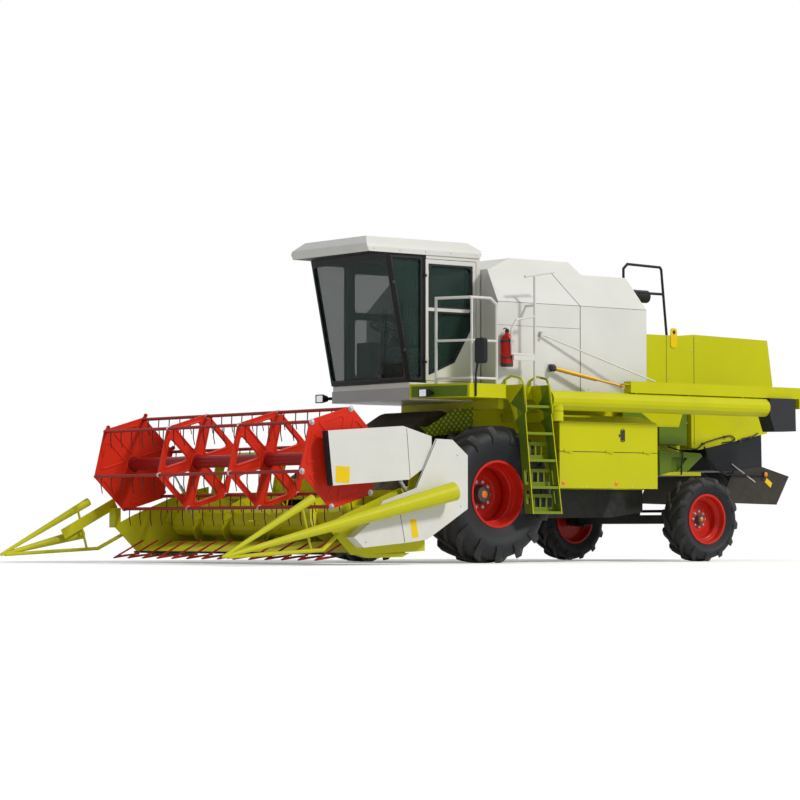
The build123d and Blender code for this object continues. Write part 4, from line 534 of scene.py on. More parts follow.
def circle(radius, sides):
    """A ring of points (side, up) at a radius."""
    turn = np.linspace(0, 2 * np.pi, sides, endpoint=False)
    return radius * np.stack([np.cos(turn), np.sin(turn)], -1)


def sweep(line, section, up=(0.13, 0.21, 0.97)):
    """A section of (side, up) carried along a line of points: side = up x ahead, top = ahead x side."""
    ahead = np.gradient(np.asarray(line, float), axis=0)
    ahead /= np.linalg.norm(ahead, axis=1, keepdims=True)
    side = np.cross(up, ahead)
    side /= np.linalg.norm(side, axis=1, keepdims=True)
    top = np.cross(ahead, side)
    section = np.asarray(section, float)
    return line[:, None] + side[:, None] * section[None, :, :1] + top[:, None] * section[None, :, 1:]


def curve(points, count):
    """A smooth line through points: each span is the cubic whose slopes come from its neighbours."""
    p = np.asarray(points, float)
    p = np.concatenate([[2 * p[0] - p[1]], p, [2 * p[-1] - p[-2]]])
    u = np.linspace(0, len(p) - 3 - 1e-9, count)
    k, t = u.astype(int), (u % 1.0)[:, None]
    a, b, c, d = p[k], p[k + 1], p[k + 2], p[k + 3]
    return b + 0.5 * t * (c - a + t * (2 * a - 5 * b + 4 * c - d + t * (3 * (b - c) + d - a)))


def spun(profile, centre, axis, sides=24):
    """A profile of (along, radius) turned about an axis: centre + axis * along + radius * direction."""
    profile, axis = np.asarray(profile, float) / 1000.0, np.asarray(axis, float)
    axis /= np.linalg.norm(axis)
    first = np.cross(axis, (0.31, 0.17, 0.93))
    first /= np.linalg.norm(first)
    turn = circle(1.0, sides)
    out = turn[:, :1] * first + turn[:, 1:] * np.cross(axis, first)
    centre = np.asarray(centre, float)[..., None, None, :]
    return centre + profile[:, None, :1] * axis + profile[:, None, 1:] * out[None]


def inset(outline, gap):
    """Moves each side of a closed outline inward by a gap: new corners are where moved sides meet."""
    p = np.asarray(outline, float)
    after = np.roll(p, -1, 0)
    way = after - p
    way /= np.linalg.norm(way, axis=1, keepdims=True)
    turn = np.sign((p[:, 0] * after[:, 1] - p[:, 1] * after[:, 0]).sum())
    inward = turn * np.stack([-way[:, 1], way[:, 0]], 1)
    before = np.roll(inward, 1, 0)
    return p + gap * (before + inward) / (1 + (before * inward).sum(1, keepdims=True))


def filleted(outline, radius, steps=7):
    """Rounds corners: each is a curve of the second degree that leaves both sides at a radius."""
    p = np.asarray(outline, float)
    ends = [np.roll(p, k, 0) - p for k in (1, -1)]
    a, c = (p + radius * end / np.linalg.norm(end, axis=1, keepdims=True) for end in ends)
    t = np.linspace(0, 1, steps)[None, :, None]
    return ((1 - t) ** 2 * a[:, None] + 2 * t * (1 - t) * p[:, None] + t ** 2 * c[:, None]).reshape(-1, 2)


def band(outer, inner, place, low, high):
    """A flat ring between two outlines with as many points, from low to high off its plane."""
    edges = ((outer, low), (outer, high), (inner, high), (inner, low))
    return shell(np.stack([place(*edge.T, h) for edge, h in edges], 1), loop=True)


def plate(outline, place, low, high, edge=2.0):
    """An outline with some thickness, whose edges are cut back towards its middle."""
    p = np.asarray(outline, float)
    cut = inset(p, edge)
    rings = ((cut, low), (p, low + edge), (p, high - edge), (cut, high))
    return shell(np.stack([place(*ring.T, h) for ring, h in rings], 0))


def side(y):
    """Places (x, z, height) on a plane that faces the machine's side at y; height grows outward."""
    out = 1 if y > 0 else -1
    return lambda a, b, h: at(a, y + out * h, b)


def button(profile, x, y, z, sides=20):
    """A round fitting on a side face: its profile of (along, radius) stands out from the machine."""
    return shell(spun(profile, at(x, y, z), (0.0, math.copysign(1.0, y), 0.0), sides))


def seam(points, up, width=5.0, height=1.4):
    """A joint between two sheets: a narrow dark strip along straight runs, proud by a hair."""
    w, h = width / 2000.0, height / 1000.0
    return shell(sweep(np.asarray(points, float), [(-w, -h), (w, -h), (w, h), (-w, h)], up))


def studs(places, normal, radius=9.0, height=7.0):
    """Hexagon bolt heads on washers: one short profile of six sides at each place."""
    r, h = radius, height
    profile = [(0, r * 1.3), (0.2 * h, r * 1.3), (0.21 * h, r), (0.9 * h, r), (h, 0.8 * r)]
    return shell(spun(profile, places, normal, 6))


def span(first, last):
    """The two ends of a straight run."""
    return np.array([first, last])


def box_outline(x0, x1, z0, z1):
    """The four corners of an upright rectangle."""
    return [(x0, z0), (x1, z0), (x1, z1), (x0, z1)]


print("a hexagon starts at", circle(1.0, 6)[0])

# %% [markdown]
# A traction tyre is a rounded carcass with bars that lean back from the middle to each shoulder.
# It could be cut from a solid, but rubber has soft edges everywhere. The carcass is a closed section
# with its corners cut again and again, spun about the axle. Each lug is a short section carried
# outward across the tread, and all lugs of one side are worked out as one array.

# %% Tyres
wheels = {
    "front": SimpleNamespace(
        x=0.0, track=1150.0, radius=790.0, width=590.0, rim_r=366.0, lugs=15, lug_h=42.0,
        dish=350.0, nose_r=105.0, nose_h=110.0, bolt_r=150.0, bolts=10,
    ),
    "rear": SimpleNamespace(
        x=-3329.0, track=1215.0, radius=512.0, width=340.0, rim_r=284.0, lugs=13, lug_h=30.0,
        dish=170.0, nose_r=62.0, nose_h=70.0, bolt_r=95.0, bolts=8,
    ),
}
BEAD_SHARE = 0.74


def soften(section, times):
    """Cuts every corner of a closed section at a quarter of its sides, again and again."""
    p = np.asarray(section, float)
    for _ in range(times):
        after = np.roll(p, -1, 0)
        p = np.stack([0.75 * p + 0.25 * after, 0.25 * p + 0.75 * after], 1).reshape(-1, 2)
    return p


def about_axle(w, r, y, angle, sign):
    """Points at a radius, a distance across and an angle about a wheel's axle."""
    return at(w.x + r * np.cos(angle), sign * (w.track + y), w.radius + r * np.sin(angle))


def tyre_shells(w, sign):
    """A section spun about the axle, and bars: angle = start - slant * (1 - across) ** 1.35."""
    half, tread_r, rim_r = w.width / 2, w.radius - w.lug_h, w.rim_r
    bead_y, bead_r = BEAD_SHARE * half, rim_r + 30
    wall_r, shoulder_r = rim_r + 0.55 * (tread_r - rim_r), tread_r - 0.16 * (tread_r - rim_r)
    out = [(bead_r, bead_y), (wall_r, 1.03 * half), (shoulder_r, 0.96 * half), (tread_r + 2, 0.68 * half)]
    section = [(r, -y) for r, y in out] + [(r, y) for r, y in out[::-1]]
    section = soften([(rim_r + 1, -bead_y + 4)] + section + [(rim_r + 1, bead_y - 4)], 3)
    turn = np.linspace(0, 2 * np.pi, 108, endpoint=False)
    r, y = section[:, :1], section[:, 1:]
    made = [shell(about_axle(w, r, y + 0 * turn, turn, sign), loop=True)]
    walls = [np.repeat((section[:, 0] - rim_r) / (w.radius - rim_r), len(turn))]
    across = np.linspace(-0.03, 1.045, 12)
    pitch, slant = 2 * np.pi / w.lugs, 0.60 * w.width / w.radius
    thick = 0.25 * pitch * (1.0 + 0.25 * across)
    low_r = wall_r + 0.10 * (tread_r - wall_r)
    tops = [w.radius, w.radius - 1, w.radius - 8, shoulder_r + 0.55 * w.lug_h, shoulder_r - 0.9 * w.lug_h]
    top = np.interp(across, [-0.03, 0.62, 0.86, 0.97, 1.045], tops)
    feet = [tread_r - 16, tread_r - 20, low_r + 10, low_r]
    foot = np.interp(across, [-0.03, 0.6, 0.97, 1.045], feet)
    steps = [(-0.12, 0.0), (-0.02, 0.78), (0.07, 1.0), (0.93, 1.0), (1.02, 0.78), (1.12, 0.0)]
    for way in (1, -1):
        start = -np.pi / 2 + pitch * (np.arange(w.lugs) + (0.5 if way < 0 else 0.0))
        lean = start[:, None] - slant * np.clip(1 - across, 0, 2) ** 1.35
        angle = np.stack([lean + share * thick for share, _ in steps], -1)
        r = np.stack([foot + share * (top - foot) for _, share in steps], -1)[None]
        y = np.broadcast_to((way * half * across)[None, :, None], angle.shape)
        made.append(shell(about_axle(w, r, y, angle, sign)))
        walls.append(np.broadcast_to((r - rim_r) / (w.radius - rim_r), angle.shape).ravel())
    return made, np.concatenate(walls)


for name, w in wheels.items():
    for label, sign in SIDES:
        made, wall = tyre_shells(w, sign)
        body = f"{name}_wheel_{label}"
        tyre = piece(f"traction_tyre_{name}_{label}", made, tyre_rubber, body, 40, wall)
        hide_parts(f"tyre_{name}_{label}")
print("tyres", len(tyre.data.polygons), "faces each")

# %% [markdown]
# A wheel is a rolled rim with a deep well, a flat disc far inside it, and a dark hub with a ring of
# nuts. All of it is round, so rim, disc and hub are profiles turned about the axle. The rim and the
# disc have their corners cut once, because rolled sheet has no sharp edge.

# %% Wheels
SHEET, WELL = 12.0, 45.0


def rim_and_disc(w, sign):
    """Rim and disc sections of (radius, across), softened once and spun about the axle."""
    bead_y = BEAD_SHARE * w.width / 2
    edge = bead_y + SHEET
    disc = edge - w.dish
    lip, seat, inside = w.rim_r + 22, w.rim_r - 0.3, w.rim_r - SHEET - 0.3
    well = inside - WELL
    rim = [
        (lip, edge), (lip, bead_y), (seat, bead_y), (seat, -bead_y), (lip, -bead_y), (lip, -edge),
        (inside, -edge), (inside, -0.5 * bead_y), (well, -0.3 * bead_y), (well, 0.3 * bead_y),
        (well + 16, 0.34 * bead_y), (well + 20, 0.46 * bead_y), (inside, 0.6 * bead_y), (inside, edge),
    ]
    reach = well + 4 if abs(disc) < 0.3 * bead_y else inside + 4
    face = disc + SHEET
    plate_ring = [
        (reach, disc), (reach, face), (reach - 40, face), (0.62 * reach, disc + 26),
        (0.60 * reach, disc + 26), (0.56 * reach, face), (w.nose_r, face), (w.nose_r, disc),
    ]
    turn = np.linspace(0, 2 * np.pi, 96, endpoint=False)
    made = []
    for section in (rim, plate_ring):
        p = soften(section, 1)
        made.append(shell(about_axle(w, p[:, :1], p[:, 1:] + 0 * turn, turn, sign), loop=True))
    return made, face


for name, w in wheels.items():
    for label, sign in SIDES:
        body = f"{name}_wheel_{label}"
        made, face = rim_and_disc(w, sign)
        disc = piece(f"rim_{name}_{label}", made, wheel_red, body)
        centre, axis = at(w.x, sign * (w.track + face), w.radius), (0.0, sign, 0.0)
        r, h = w.nose_r, w.nose_h
        profile = [
            (-60, r + 8), (2, r + 8), (6, r), (0.55 * h, 0.92 * r),
            (0.80 * h, 0.86 * r), (0.86 * h, 0.6 * r), (h - 14, 0.5 * r), (h - 12, 0.3 * r),
        ]
        hub = [shell(spun(profile, centre, axis, 40))]
        piece(f"hub_{name}_{label}", hub, hub_grey, body)
        cap_at = centre + np.array(axis) * (h - 14) / 1000
        cap = [(-2, 0.42 * r), (5, 0.40 * r), (10, 0.28 * r), (13, 0.1 * r)]
        piece(f"hub_cap_{name}_{label}", [shell(spun(cap, cap_at, axis, 28))], amber, body)
        turn = circle(w.bolt_r, w.bolts)
        places = at(w.x + turn[:, 0], sign * (w.track + face), w.radius + turn[:, 1])
        nuts = [studs(places, axis, 0.13 * w.bolt_r, 18)]
        piece(f"wheel_nuts_{name}_{label}", nuts, steel, body)
        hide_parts(f"wheel_{name}_{label}")
print("wheels", len(disc.data.polygons), "faces each rim")

# %% [markdown]
# The cab's window seals close the sharp corners of the cut openings with rounded ones. Each seal is
# a ring between the opening's own outline and the same outline moved inward and filleted. Both
# edges have equal numbers of points, so the ring is a plain grid, with no boolean cut.

# %% Window seals
CAB_HALF_W, DOOR_FACE_Y, CAB_REAR_X = 730.0, 728.0, -270.0
CAB_FLOOR_Z, CAB_TOP_Z = 2080.0, 3555.0 - 0.3
POST_AND_SEAL = 48.3


def screen_x(z):
    """The slanted windscreen's x at a height."""
    return 811.0 + (z - 2097.0) * (1106.0 - 811.0) / (3510.0 - 2097.0)


def gasket(outline, place, corner=70.0, out=9.0, over=14.0, low=-4.0, high=5.0, steps=9):
    """A window seal: its outer edge keeps the corners, its inner edge rounds them."""
    outer = np.repeat(inset(outline, -out), steps, 0)
    return band(outer, filleted(inset(outline, over), corner, steps), place, low, high)


def on_screen(a, b, h):
    """Places (y, z, height) on the slanted windscreen."""
    return at(screen_x(b) + h, a, b)


def across(x, out=1):
    """Places (y, z, height) on a plane across the machine at x; height grows along out."""
    return lambda a, b, h: at(x + out * h, a, b)


upper_window = box_outline(-149, 489, 2960, 3448.7)
lower_window = [(121, 2330), (489, 2180), (489, 2900), (-149, 2900), (-149, 2760)]
quarter_low, quarter_top = CAB_FLOOR_Z + 35, CAB_TOP_Z - 35
quarter = [
    (605, quarter_low), (screen_x(quarter_low) - POST_AND_SEAL, quarter_low),
    (screen_x(quarter_top) - POST_AND_SEAL, quarter_top), (605, quarter_top),
]
for (label, sign), body in zip(SIDES, ("cab_door", "machine")):
    made = [gasket(window, side(sign * DOOR_FACE_Y)) for window in (upper_window, lower_window)]
    piece(f"door_seal_{label}", made, seal_rubber, body)
made = [gasket(quarter, side(sign * CAB_HALF_W), 40.0) for _, sign in SIDES]
made.append(gasket(box_outline(-708, 708, 2127, 3485), on_screen, 60.0, 8.0, 12.0))
made.append(gasket(box_outline(-480, 480, 2850, 3420), across(CAB_REAR_X, -1), 80.0))
piece("cab_seals", made, seal_rubber)
print("seals", len(made), "in the cab")

# %% [markdown]
# Sheet metal is read by its joints: thin dark lines on the tank, the hood and the header's covers.
# A painted line would blur close up, so each joint is a narrow strip of rubber that stands proud
# by a hair, and the guard's pressed fold is a strip in cream paint.

# %% Joints between sheets
made = []
for _, sign in SIDES:
    up = (0.0, sign, 0.0)
    slant = (0.0, sign * 0.742, 0.670)
    tank, hood = sign * TANK_Y, sign * HOOD_Y
    made += [
        seam(at(-1372, tank, span(1992, 3020)), up, 8),
        seam(at(span(-1372, -1240), sign * span(TANK_Y, 885), span(3020, 3424)), slant, 8),
        seam(at(span(-100, -2428), tank, 3020), up, 4),
        seam(at(span(-100, -1370), tank, 2749), up, 3),
        seam(at(-3686, hood, span(1440, 2774)), up, 7),
        seam(at(-3221, hood, span(1992, 2774)), up, 6),
    ]
piece("sheet_joints", made, seal_rubber)
made = [
    seam(at(span(1592, 1877), COVER_Y, span(1368, 838)), ALONG_Y, 7),
    seam(at(span(2096, 2030), COVER_Y, span(553, 245)), ALONG_Y, 6),
]
piece("end_cover_joints", made, seal_rubber, "header")
made = [seam(at(span(1986, 1938), GUARD_Y, span(1478, 940)), ALONG_Y, 5)]
piece("reel_guard_joint", made, seal_rubber, "reel_frame")
crease = [seam(at(span(1660, 3040), GUARD_Y, span(1392, 1350)), ALONG_Y, 4, 1.0)]
piece("reel_guard_crease", crease, cream, "reel_frame")

# %% [markdown]
# The platform's slanted front carries a leaf green plate, drawn flat and placed by a function that
# turns flat points onto the slanted plane. The wiper gets onto the windscreen in the
# same way, and round knobs clamp the edge glass. Bolt heads give the panels their scale: each row
# is one array of places, and one short profile stands at every place.

# %% Valance plate and side door joints
front_edge = np.array([780.0, 730.0])
along, facing = np.array([-300.0, 720.0]) / 780.0, np.array([720.0, 300.0]) / 780.0


def on_valance(a, b, h):
    """Places (along the slanted platform front, z, height): edge + along * a + facing * h."""
    x = front_edge[0] + along[0] * a + facing[0] * h
    return at(x, front_edge[1] + along[1] * a + facing[1] * h, b)


valance = filleted(box_outline(26, 752, 1900, 2026), 10, 4)
piece("platform_valance", [plate(valance, on_valance, -1.0, 2.5, 1.0)], leaf)
for label, sign in SIDES:
    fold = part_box(f"side_door_{label}")[0].z * 1000 + 5
    line = at(span(-968, -2502), sign * PANEL_Y, fold)
    made = [seam(line, (0, sign, 0), 7)]
    piece(f"side_door_joint_{label}", made, seal_rubber, f"side_door_{label}")
    print("door foot", label, fold)

# %% Screen knobs and wiper
knob = [(-1, 17), (5, 19), (13, 16), (16, 8)]
knob_places = ((1040, 3215), (880, 2443))
made = [button(knob, x - 22, sign * CAB_HALF_W, z) for _, sign in SIDES for x, z in knob_places]
wiper_z = np.array([2180, 2400, 2650, 2900])
blade = at(screen_x(wiper_z) + 16, 250 + 0.32 * (wiper_z - 2180), wiper_z)
made.append(shell(sweep(curve(blade, 16), circle(0.007, 8), (1, 0, 0))))
pivot = [(-4, 26), (16, 26), (22, 16)]
made.append(shell(spun(pivot, at(screen_x(2160), 250, 2160), (0.979, 0, -0.204), 20)))
piece("screen_knobs_and_wiper", made, trim)
print("knobs", len(knob_places) * 2)

# %% Bolt heads
hood_x = [-3260, -3260, -3560, -3640, -3760, -4420, -4620, -4860, -3760, -4600]
hood_z = [2250, 2700, 1700, 2600, 1560, 1700, 1640, 1760, 2720, 2700]
tank_x = [-300, -900, -1500, -2100, -2380]
heads = []
for _, sign in SIDES:
    rows = [
        at(hood_x, sign * HOOD_Y, hood_z),
        at(np.linspace(-1000, -2470, 5), sign * PANEL_Y, 892),
        at(tank_x, sign * TANK_Y, 2040),
        at(np.linspace(-200, 1300, 5), sign * 740, 3590),
    ]
    heads += [studs(row, (0.0, sign, 0.0), 7, 5) for row in rows]
piece("panel_bolts", heads, steel)
cover_heads = at([1985, 2560, 1300, 1250], COVER_Y, [575, 250, 1200, 640])
piece("cover_bolts", [studs(cover_heads, ALONG_Y, 9, 6)], steel, "header")
print("rows of bolts", len(heads))

# %% [markdown]
# The reel's plates are pressed sheet with six wide openings, and the two end plates are closed. Each
# sixth of a middle plate is a triangle with a rounded hole: a ring between two outlines. A raised
# rim runs round every opening, and the end plates show the same rims as ribs. One sixth is worked
# out in the reel's own plane and turned to all six places.

# %% Reel plates
turns = np.radians(REEL_TURN + 60.0 * np.arange(6))
PLATE_R, STEPS, SPOKE, OPENING_FILLET, HALF_PLATE = 572.0, 7, 66.0, 62.0, 10.0
sixth = PLATE_R * np.array([(0.0, 0.0), (math.cos(np.pi / 6), -0.5), (math.cos(np.pi / 6), 0.5)])
opening = inset(sixth, SPOKE)
MIDDLE_YS, END_YS = (-PLATE_Y, PLATE_Y), (-END_PLATE_Y, END_PLATE_Y)


def turned(y, angle):
    """Places (out, across, height) in the reel's plane at y, turned about its axis by the angles."""
    c, n = np.cos(angle), np.sin(angle)
    return lambda a, b, h: at(REEL_X + a * c - b * n, y + h, REEL_Z + a * n + b * c)


def on_reel(profile, sides=32):
    """A profile of (y, radius) turned about the reel's axis."""
    return shell(spun(profile, at(REEL_X, 0, REEL_Z), ALONG_Y, sides))


holed, rounded = np.repeat(sixth, STEPS, 0), filleted(opening, OPENING_FILLET, STEPS)
open_plates = [
    band(holed, rounded, turned(y, t + np.pi / 6), -HALF_PLATE, HALF_PLATE) for y in MIDDLE_YS for t in turns
]
hexagon = PLATE_R * np.stack([np.cos(turns), np.sin(turns)], -1)
end_plates = [plate(hexagon, turned(y, 0.0), -HALF_PLATE, HALF_PLATE, 3.0) for y in END_YS]
reel_low, reel_high = (corner.y * 1000 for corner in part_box("reel"))
collars = [on_reel([(y - 20, 70), (y - 18, 108), (y + 18, 108), (y + 20, 70)]) for y in MIDDLE_YS]
ends = [on_reel([(y - 24, 60), (y - 22, 84), (y + 22, 84), (y + 24, 60)]) for y in END_YS]
tube, shaft = on_reel([(-2020, 70), (2020, 70)], 40), on_reel([(reel_low, 30), (reel_high, 30)], 24)
parts = open_plates + end_plates + collars + ends + [tube, shaft]
pressed = piece("reel_plates_and_tube", parts, reel_red, "reel")
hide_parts("reel")
print("reel", len(pressed.data.polygons), "faces")

# %% Pressed rims and bat bearings


def rims(y, out, gap, width=20.0, height=9.0):
    """Six ridges round the openings: outline(u) * turn(k), from the plate's face outward by height."""
    inner, outer = (filleted(inset(opening, g), OPENING_FILLET, STEPS) for g in (gap - width, gap))
    ridge = ((inner, -1.0), (inner, height * 0.6), (0.5 * (inner + outer), height))
    ridge += ((outer, height * 0.6), (outer, -1.0))
    place = turned(y, turns[:, None] + np.pi / 6)
    return shell(np.stack([place(*edge.T, out * h) for edge, h in ridge], -2), loop=True)


made = [rims(y + out * HALF_PLATE, out, -3.0) for y in MIDDLE_YS for out in (1, -1)]
made += [rims(y + out * HALF_PLATE, out, 6.0, 22.0) for y in END_YS for out in (1, -1)]
piece("reel_plate_rims", made, reel_red, "reel")
washer = [(0, 34), (4, 34), (5, 22), (9, 20)]
bearing = [(-14, 22), (-13, 29), (13, 29), (14, 22)]
for k, t in enumerate(turns):
    bat_x, bat_z = REEL_X + REEL_R * np.cos(t), REEL_Z + REEL_R * np.sin(t)
    nut = [studs(at(bat_x, 2052.0, bat_z)[None], ALONG_Y, 19, 12)]
    nut.append(shell(spun(washer, at(bat_x, 2040.5, bat_z), ALONG_Y, 20)))
    nut += [shell(spun(bearing, at(bat_x, y, bat_z), ALONG_Y, 16)) for y in MIDDLE_YS]
    piece(f"bat_bearing_{k + 1}", nut, steel, f"bat_{k + 1}")
print("reel rims", len(made), "rows of six")

# %% [markdown]
# Small fittings give the scale: lamp lenses in their bezels, the side doors' black latches, the
# orange reflectors, the lifting eyes and bare yellow plates. Flat ones are outlines with a
# thickness, round ones turned profiles, and each rides on the body that carries it.

# %% Lamps and latches
on_lamp = across(790.0)
lenses, bezels = [], []
for y in (989.0, -989.0):
    face = box_outline(y - 66, y + 66, 1903, 1983)
    lenses.append(plate(filleted(face, 14), on_lamp, -1.0, 4.0, 1.5))
    bezels.append(band(filleted(inset(face, -11), 16), filleted(inset(face, 1), 12), on_lamp, -2.0, 8.0))
piece("lamp_lenses", lenses, chrome)
piece("lamp_bezels", bezels, trim)

recess = box_outline(-1977, -1923, 1432, 1568)
opened, collar = filleted(recess, 26), filleted(inset(recess, -8), 30)
for label, sign in SIDES:
    face_y = sign * PANEL_Y
    made = [
        band(collar, opened, side(face_y), -2.0, 5.0),
        plate(opened, side(sign * (PANEL_Y - 14)), -1.0, 6.0),
        button([(-6, 13), (12, 13), (15, 9)], -1902, face_y, 1500),
    ]
    piece(f"latch_{label}", made, trim, f"side_door_{label}")
print("lamps", len(lenses))

# %% Reflectors, lifting eyes and bare plates
reflector = [(-1, 26), (4, 26), (8, 20), (9, 8)]
made = [button(reflector, x, sign * PANEL_Y, 930) for _, sign in SIDES for x in (-1850, -1020)]
piece("side_reflectors", made, amber)

eye = filleted(box_outline(-3398, -3288, 2624, 2866), 40)
made = [plate(eye, side(sign * HOOD_Y), -1.0, 9.0) for _, sign in SIDES]
# Painted shade: each hole in an eye is a dark rubber disc standing in for the hole's shaded depth.
holes = [button([(8, 24), (9.6, 24), (9.8, 20)], -3343, sign * HOOD_Y, 2816, 24) for _, sign in SIDES]
piece("lifting_eyes", made, signal)
piece("lifting_eye_hole_shade", holes, seal_rubber)
tags = {
    "deflector": ("machine", HOOD_Y, 3.0, 1.0, [(-5035, 975), (-4935, 1040), (-4905, 985), (-5005, 915)]),
    "reel_guard": ("reel_frame", GUARD_Y, 1.6, 0.5, [(2759, 1052), (2944, 1062), (2948, 886), (2763, 878)]),
    "end_cover": ("header", COVER_Y, 1.6, 0.5, [(1962, 492), (1880, 498), (1842, 302), (1930, 292)]),
}
for name, (body, y, high, edge, outline) in tags.items():
    tag = plate(outline, side(y), -1.0, high, edge)
    piece(f"{name}_plate", [tag], signal, body)
print("yellow plates", len(tags))

# %% [markdown]
# The fire extinguisher beside the ladder is a red bottle with a drawn shoulder, a black foot and
# valve, and two straps. It is turned about an upright axis, and replaces the CAD's plain bottle.

# %% Fire extinguisher
BOTTLE_R, BOTTLE_FLATS = 70.0, 12
bottle_x = -190.0
bottle_y = TANK_Y + BOTTLE_R * math.cos(math.pi / BOTTLE_FLATS) + 0.3
foot = at(bottle_x, bottle_y, 0)
bottle = [(2292, 64), (2298, 70), (2560, 70), (2590, 66), (2618, 52), (2636, 34), (2646, 22), (2660, 22)]
made = [shell(spun(bottle, foot, UPRIGHT, 36))]
extinguisher = piece("extinguisher_bottle", made, wheel_red)
made = [
    shell(spun([(2262, 66), (2266, 69.5), (2300, 69.5)], foot, UPRIGHT, 36)),
    shell(spun([(2655, 24), (2675, 26), (2690, 20), (2700, 12)], foot, UPRIGHT, 20)),
]
ring = circle(BOTTLE_R, 36)
for z in (2350, 2540):
    edges = ((1.0, z), (1.03, z), (1.03, z + 26), (1.0, z + 26))
    rows = [at(bottle_x + k * ring[:, 0], bottle_y + k * ring[:, 1], h) for k, h in edges]
    made.append(shell(np.stack(rows, 1), loop=True))
lever = curve(at([-190, -150, -110], bottle_y + np.array([0.0, 20.0, 30.0]), [2690, 2704, 2690]), 12)
made.append(shell(sweep(lever, circle(0.007, 10), (0, 1, 0))))
piece("extinguisher_fittings", made, trim)
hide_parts("extinguisher")
print("extinguisher", len(extinguisher.data.polygons), "faces")

# %% [markdown]
# The driver's seat shows through the glass, so it is two foam cushions on a plinth, not blocks. A
# cushion is a rounded block whose faces swell in their middles: each point of a sphere's grid is
# pulled to a superellipse, then pushed out by a crown that is highest at the face's middle, and in
# along two sewn channels. A cloth simulation would show little more behind tinted glass.

# %% Driver's seat


def cushion(centre, size, crown, lean=0.0, power=5.0, steps=28):
    """Points on |x|^p + |y|^p + |z|^p = 1, scaled, with a crown and two stitched channels across it."""
    u = np.linspace(-np.pi / 2 + 0.04, np.pi / 2 - 0.04, steps)[:, None]
    v = np.linspace(-np.pi, np.pi, 2 * steps, endpoint=False)[None, :]
    ball = (np.cos(u) * np.cos(v), np.cos(u) * np.sin(v), np.sin(u) + 0 * v)
    ball = np.stack(np.broadcast_arrays(*ball), -1)
    ball = ball / (np.abs(ball) ** power).sum(-1, keepdims=True) ** (1 / power)
    hill = (1 - ball[..., 0] ** 2) * (1 - ball[..., 1] ** 2)
    groove = np.exp(-((np.abs(ball[..., 0]) - 0.34) / 0.05) ** 2)
    ball[..., 2] *= 1 + crown * hill - 0.10 * groove
    p = ball * np.asarray(size) / 2
    x = p[..., 0] * math.cos(lean) - p[..., 2] * math.sin(lean)
    z = p[..., 0] * math.sin(lean) + p[..., 2] * math.cos(lean)
    return shell(at(centre[0] + x, centre[1] + p[..., 1], centre[2] + z))


lower = cushion((155, 0, 2470), (500, 515, 118), 0.12)
upper = cushion((-75, 0, 2832), (590, 475, 112), 0.12, math.radians(97.5))
base = piece("seat_cushion", [lower], upholstery, sharp=60)
backrest = piece("seat_backrest", [upper], upholstery, sharp=60)
folds = [(z, 205 + (12 if k % 2 else -8)) for k, z in enumerate(np.linspace(2082, 2408, 15))]
bellows = [shell(spun(folds, at(150, 0, 0), UPRIGHT, 40))]
plinth = piece("seat_plinth", bellows, seal_rubber, sharp=60)
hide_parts("seat")
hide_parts("seat")
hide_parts("seat")
print("seat", len(base.data.polygons), "faces in its cushion")

# %% [markdown]
# Hoses and the tail lamp sit along the hood's lower rear edge. A hose is a circle carried along a
# smooth line through its clips. It isn't a free cord: the sheet holds it along its whole length.

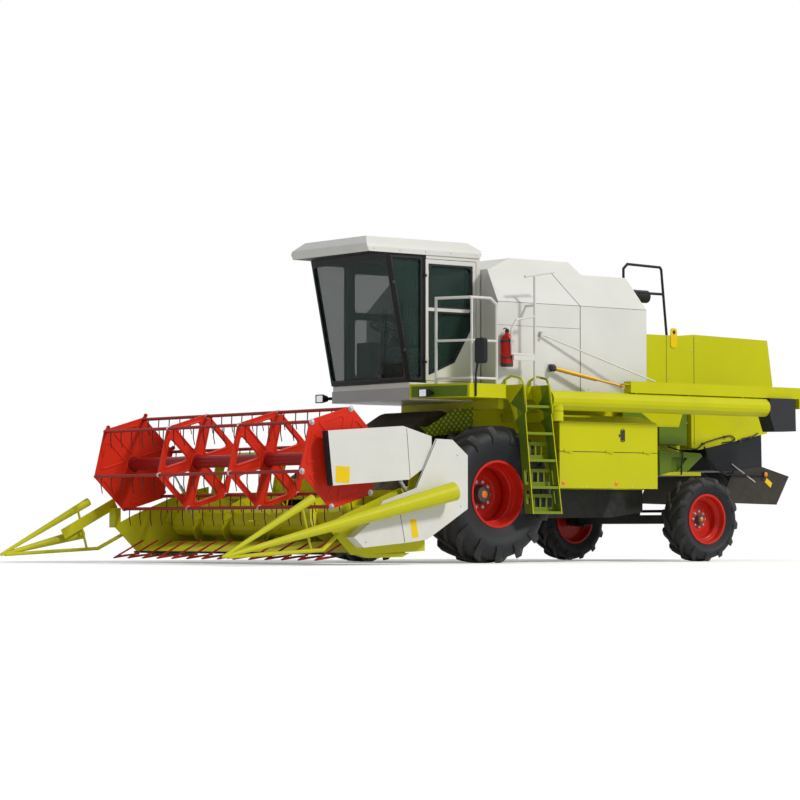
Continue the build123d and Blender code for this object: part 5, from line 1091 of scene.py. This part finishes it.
# %% Hoses and clips
across_hood = [
    (-3560, 760, 1392), (-3724, 760, 1385), (-3826, 760, 1450), (-4000, 760, 1500), (-4200, 762, 1545),
    (-4308, 764, 1556), (-4370, 764, 1515), (-4300, 762, 1484), (-4152, 760, 1465),
]
behind = [(-4440, 760, 1490), (-4520, 762, 1530), (-4640, 764, 1545), (-4780, 762, 1600)]
down_gusset = [(-3235, 760, 1405), (-3236, 1004, 1330), (-3232, 1006, 1200), (-3228, 1006, 1060)]


def hose(route, radius, up):
    """A circle of a radius carried along the smooth line through a route's points."""
    return shell(sweep(curve(at(*np.array(route, float).T), 60), circle(radius, 10), up))


on_side = (0, 1, 0.02)
made = [hose(across_hood, 0.008, on_side), hose(behind, 0.008, on_side)]
made.append(hose(down_gusset, 0.009, (1, 0, 0.02)))
piece("rear_hoses", made, seal_rubber)
clip = filleted(box_outline(-22, 22, -14, 14), 8, 4)
clip_spots = ((-3826, 1450), (-4200, 1542), (-4640, 1545), (-4460, 1500))
made = [plate(clip + spot, side(HOOD_Y), -1.0, 22.0) for spot in clip_spots]
piece("hose_clips", made, trim)
print("clips", len(made))

# %% Tail lamp and slotted bar
tail = (-4878, 770, 1080)
made = [button([(-22, 22), (-20, 30), (14, 34), (24, 34)], *tail, 28)]
piece("tail_lamp_base", made, trim)
made = [button([(24, 31), (30, 30), (38, 22), (41, 8)], *tail, 28)]
piece("tail_lamp_lens", made, amber)
bar = [(-4335, 1192), (-4320, 1215), (-4720, 998), (-4735, 972)]
slotted = band(filleted(bar, 7, 4), filleted(inset(bar, 9), 3, 4), side(HOOD_Y), 2.0, 9.0)
piece("slotted_bar", [slotted], steel)
print("rear details done")

# %% [markdown]
# The floor is a pale studio floor. To the camera it glows a little, so that its far edge meets the
# white of the sky, and it darkens only where the machine shades it. The glow goes through the
# emission's colour.

# %% Floor finish
FLOOR_LIFT = 0.24
ground = Finish("Studio floor", Roughness=0.9, Specular_IOR_Level=0.1)
ground.set(Base_Color=ground.blend(ground.noise(0.4), (0.86, 0.86, 0.86), (0.90, 0.90, 0.90)))
rays = ground.make("ShaderNodeLightPath", out="Is Camera Ray")
glossy = ground.make("ShaderNodeLightPath", out="Is Glossy Ray")
glow = ground.blend(ground.clamp(rays + glossy), (0.0, 0.0, 0.0), (FLOOR_LIFT,) * 3)
ground.set(Emission_Color=glow, Emission_Strength=1.0)
floor.data.materials.append(ground.material)
print("floor lift", FLOOR_LIFT)
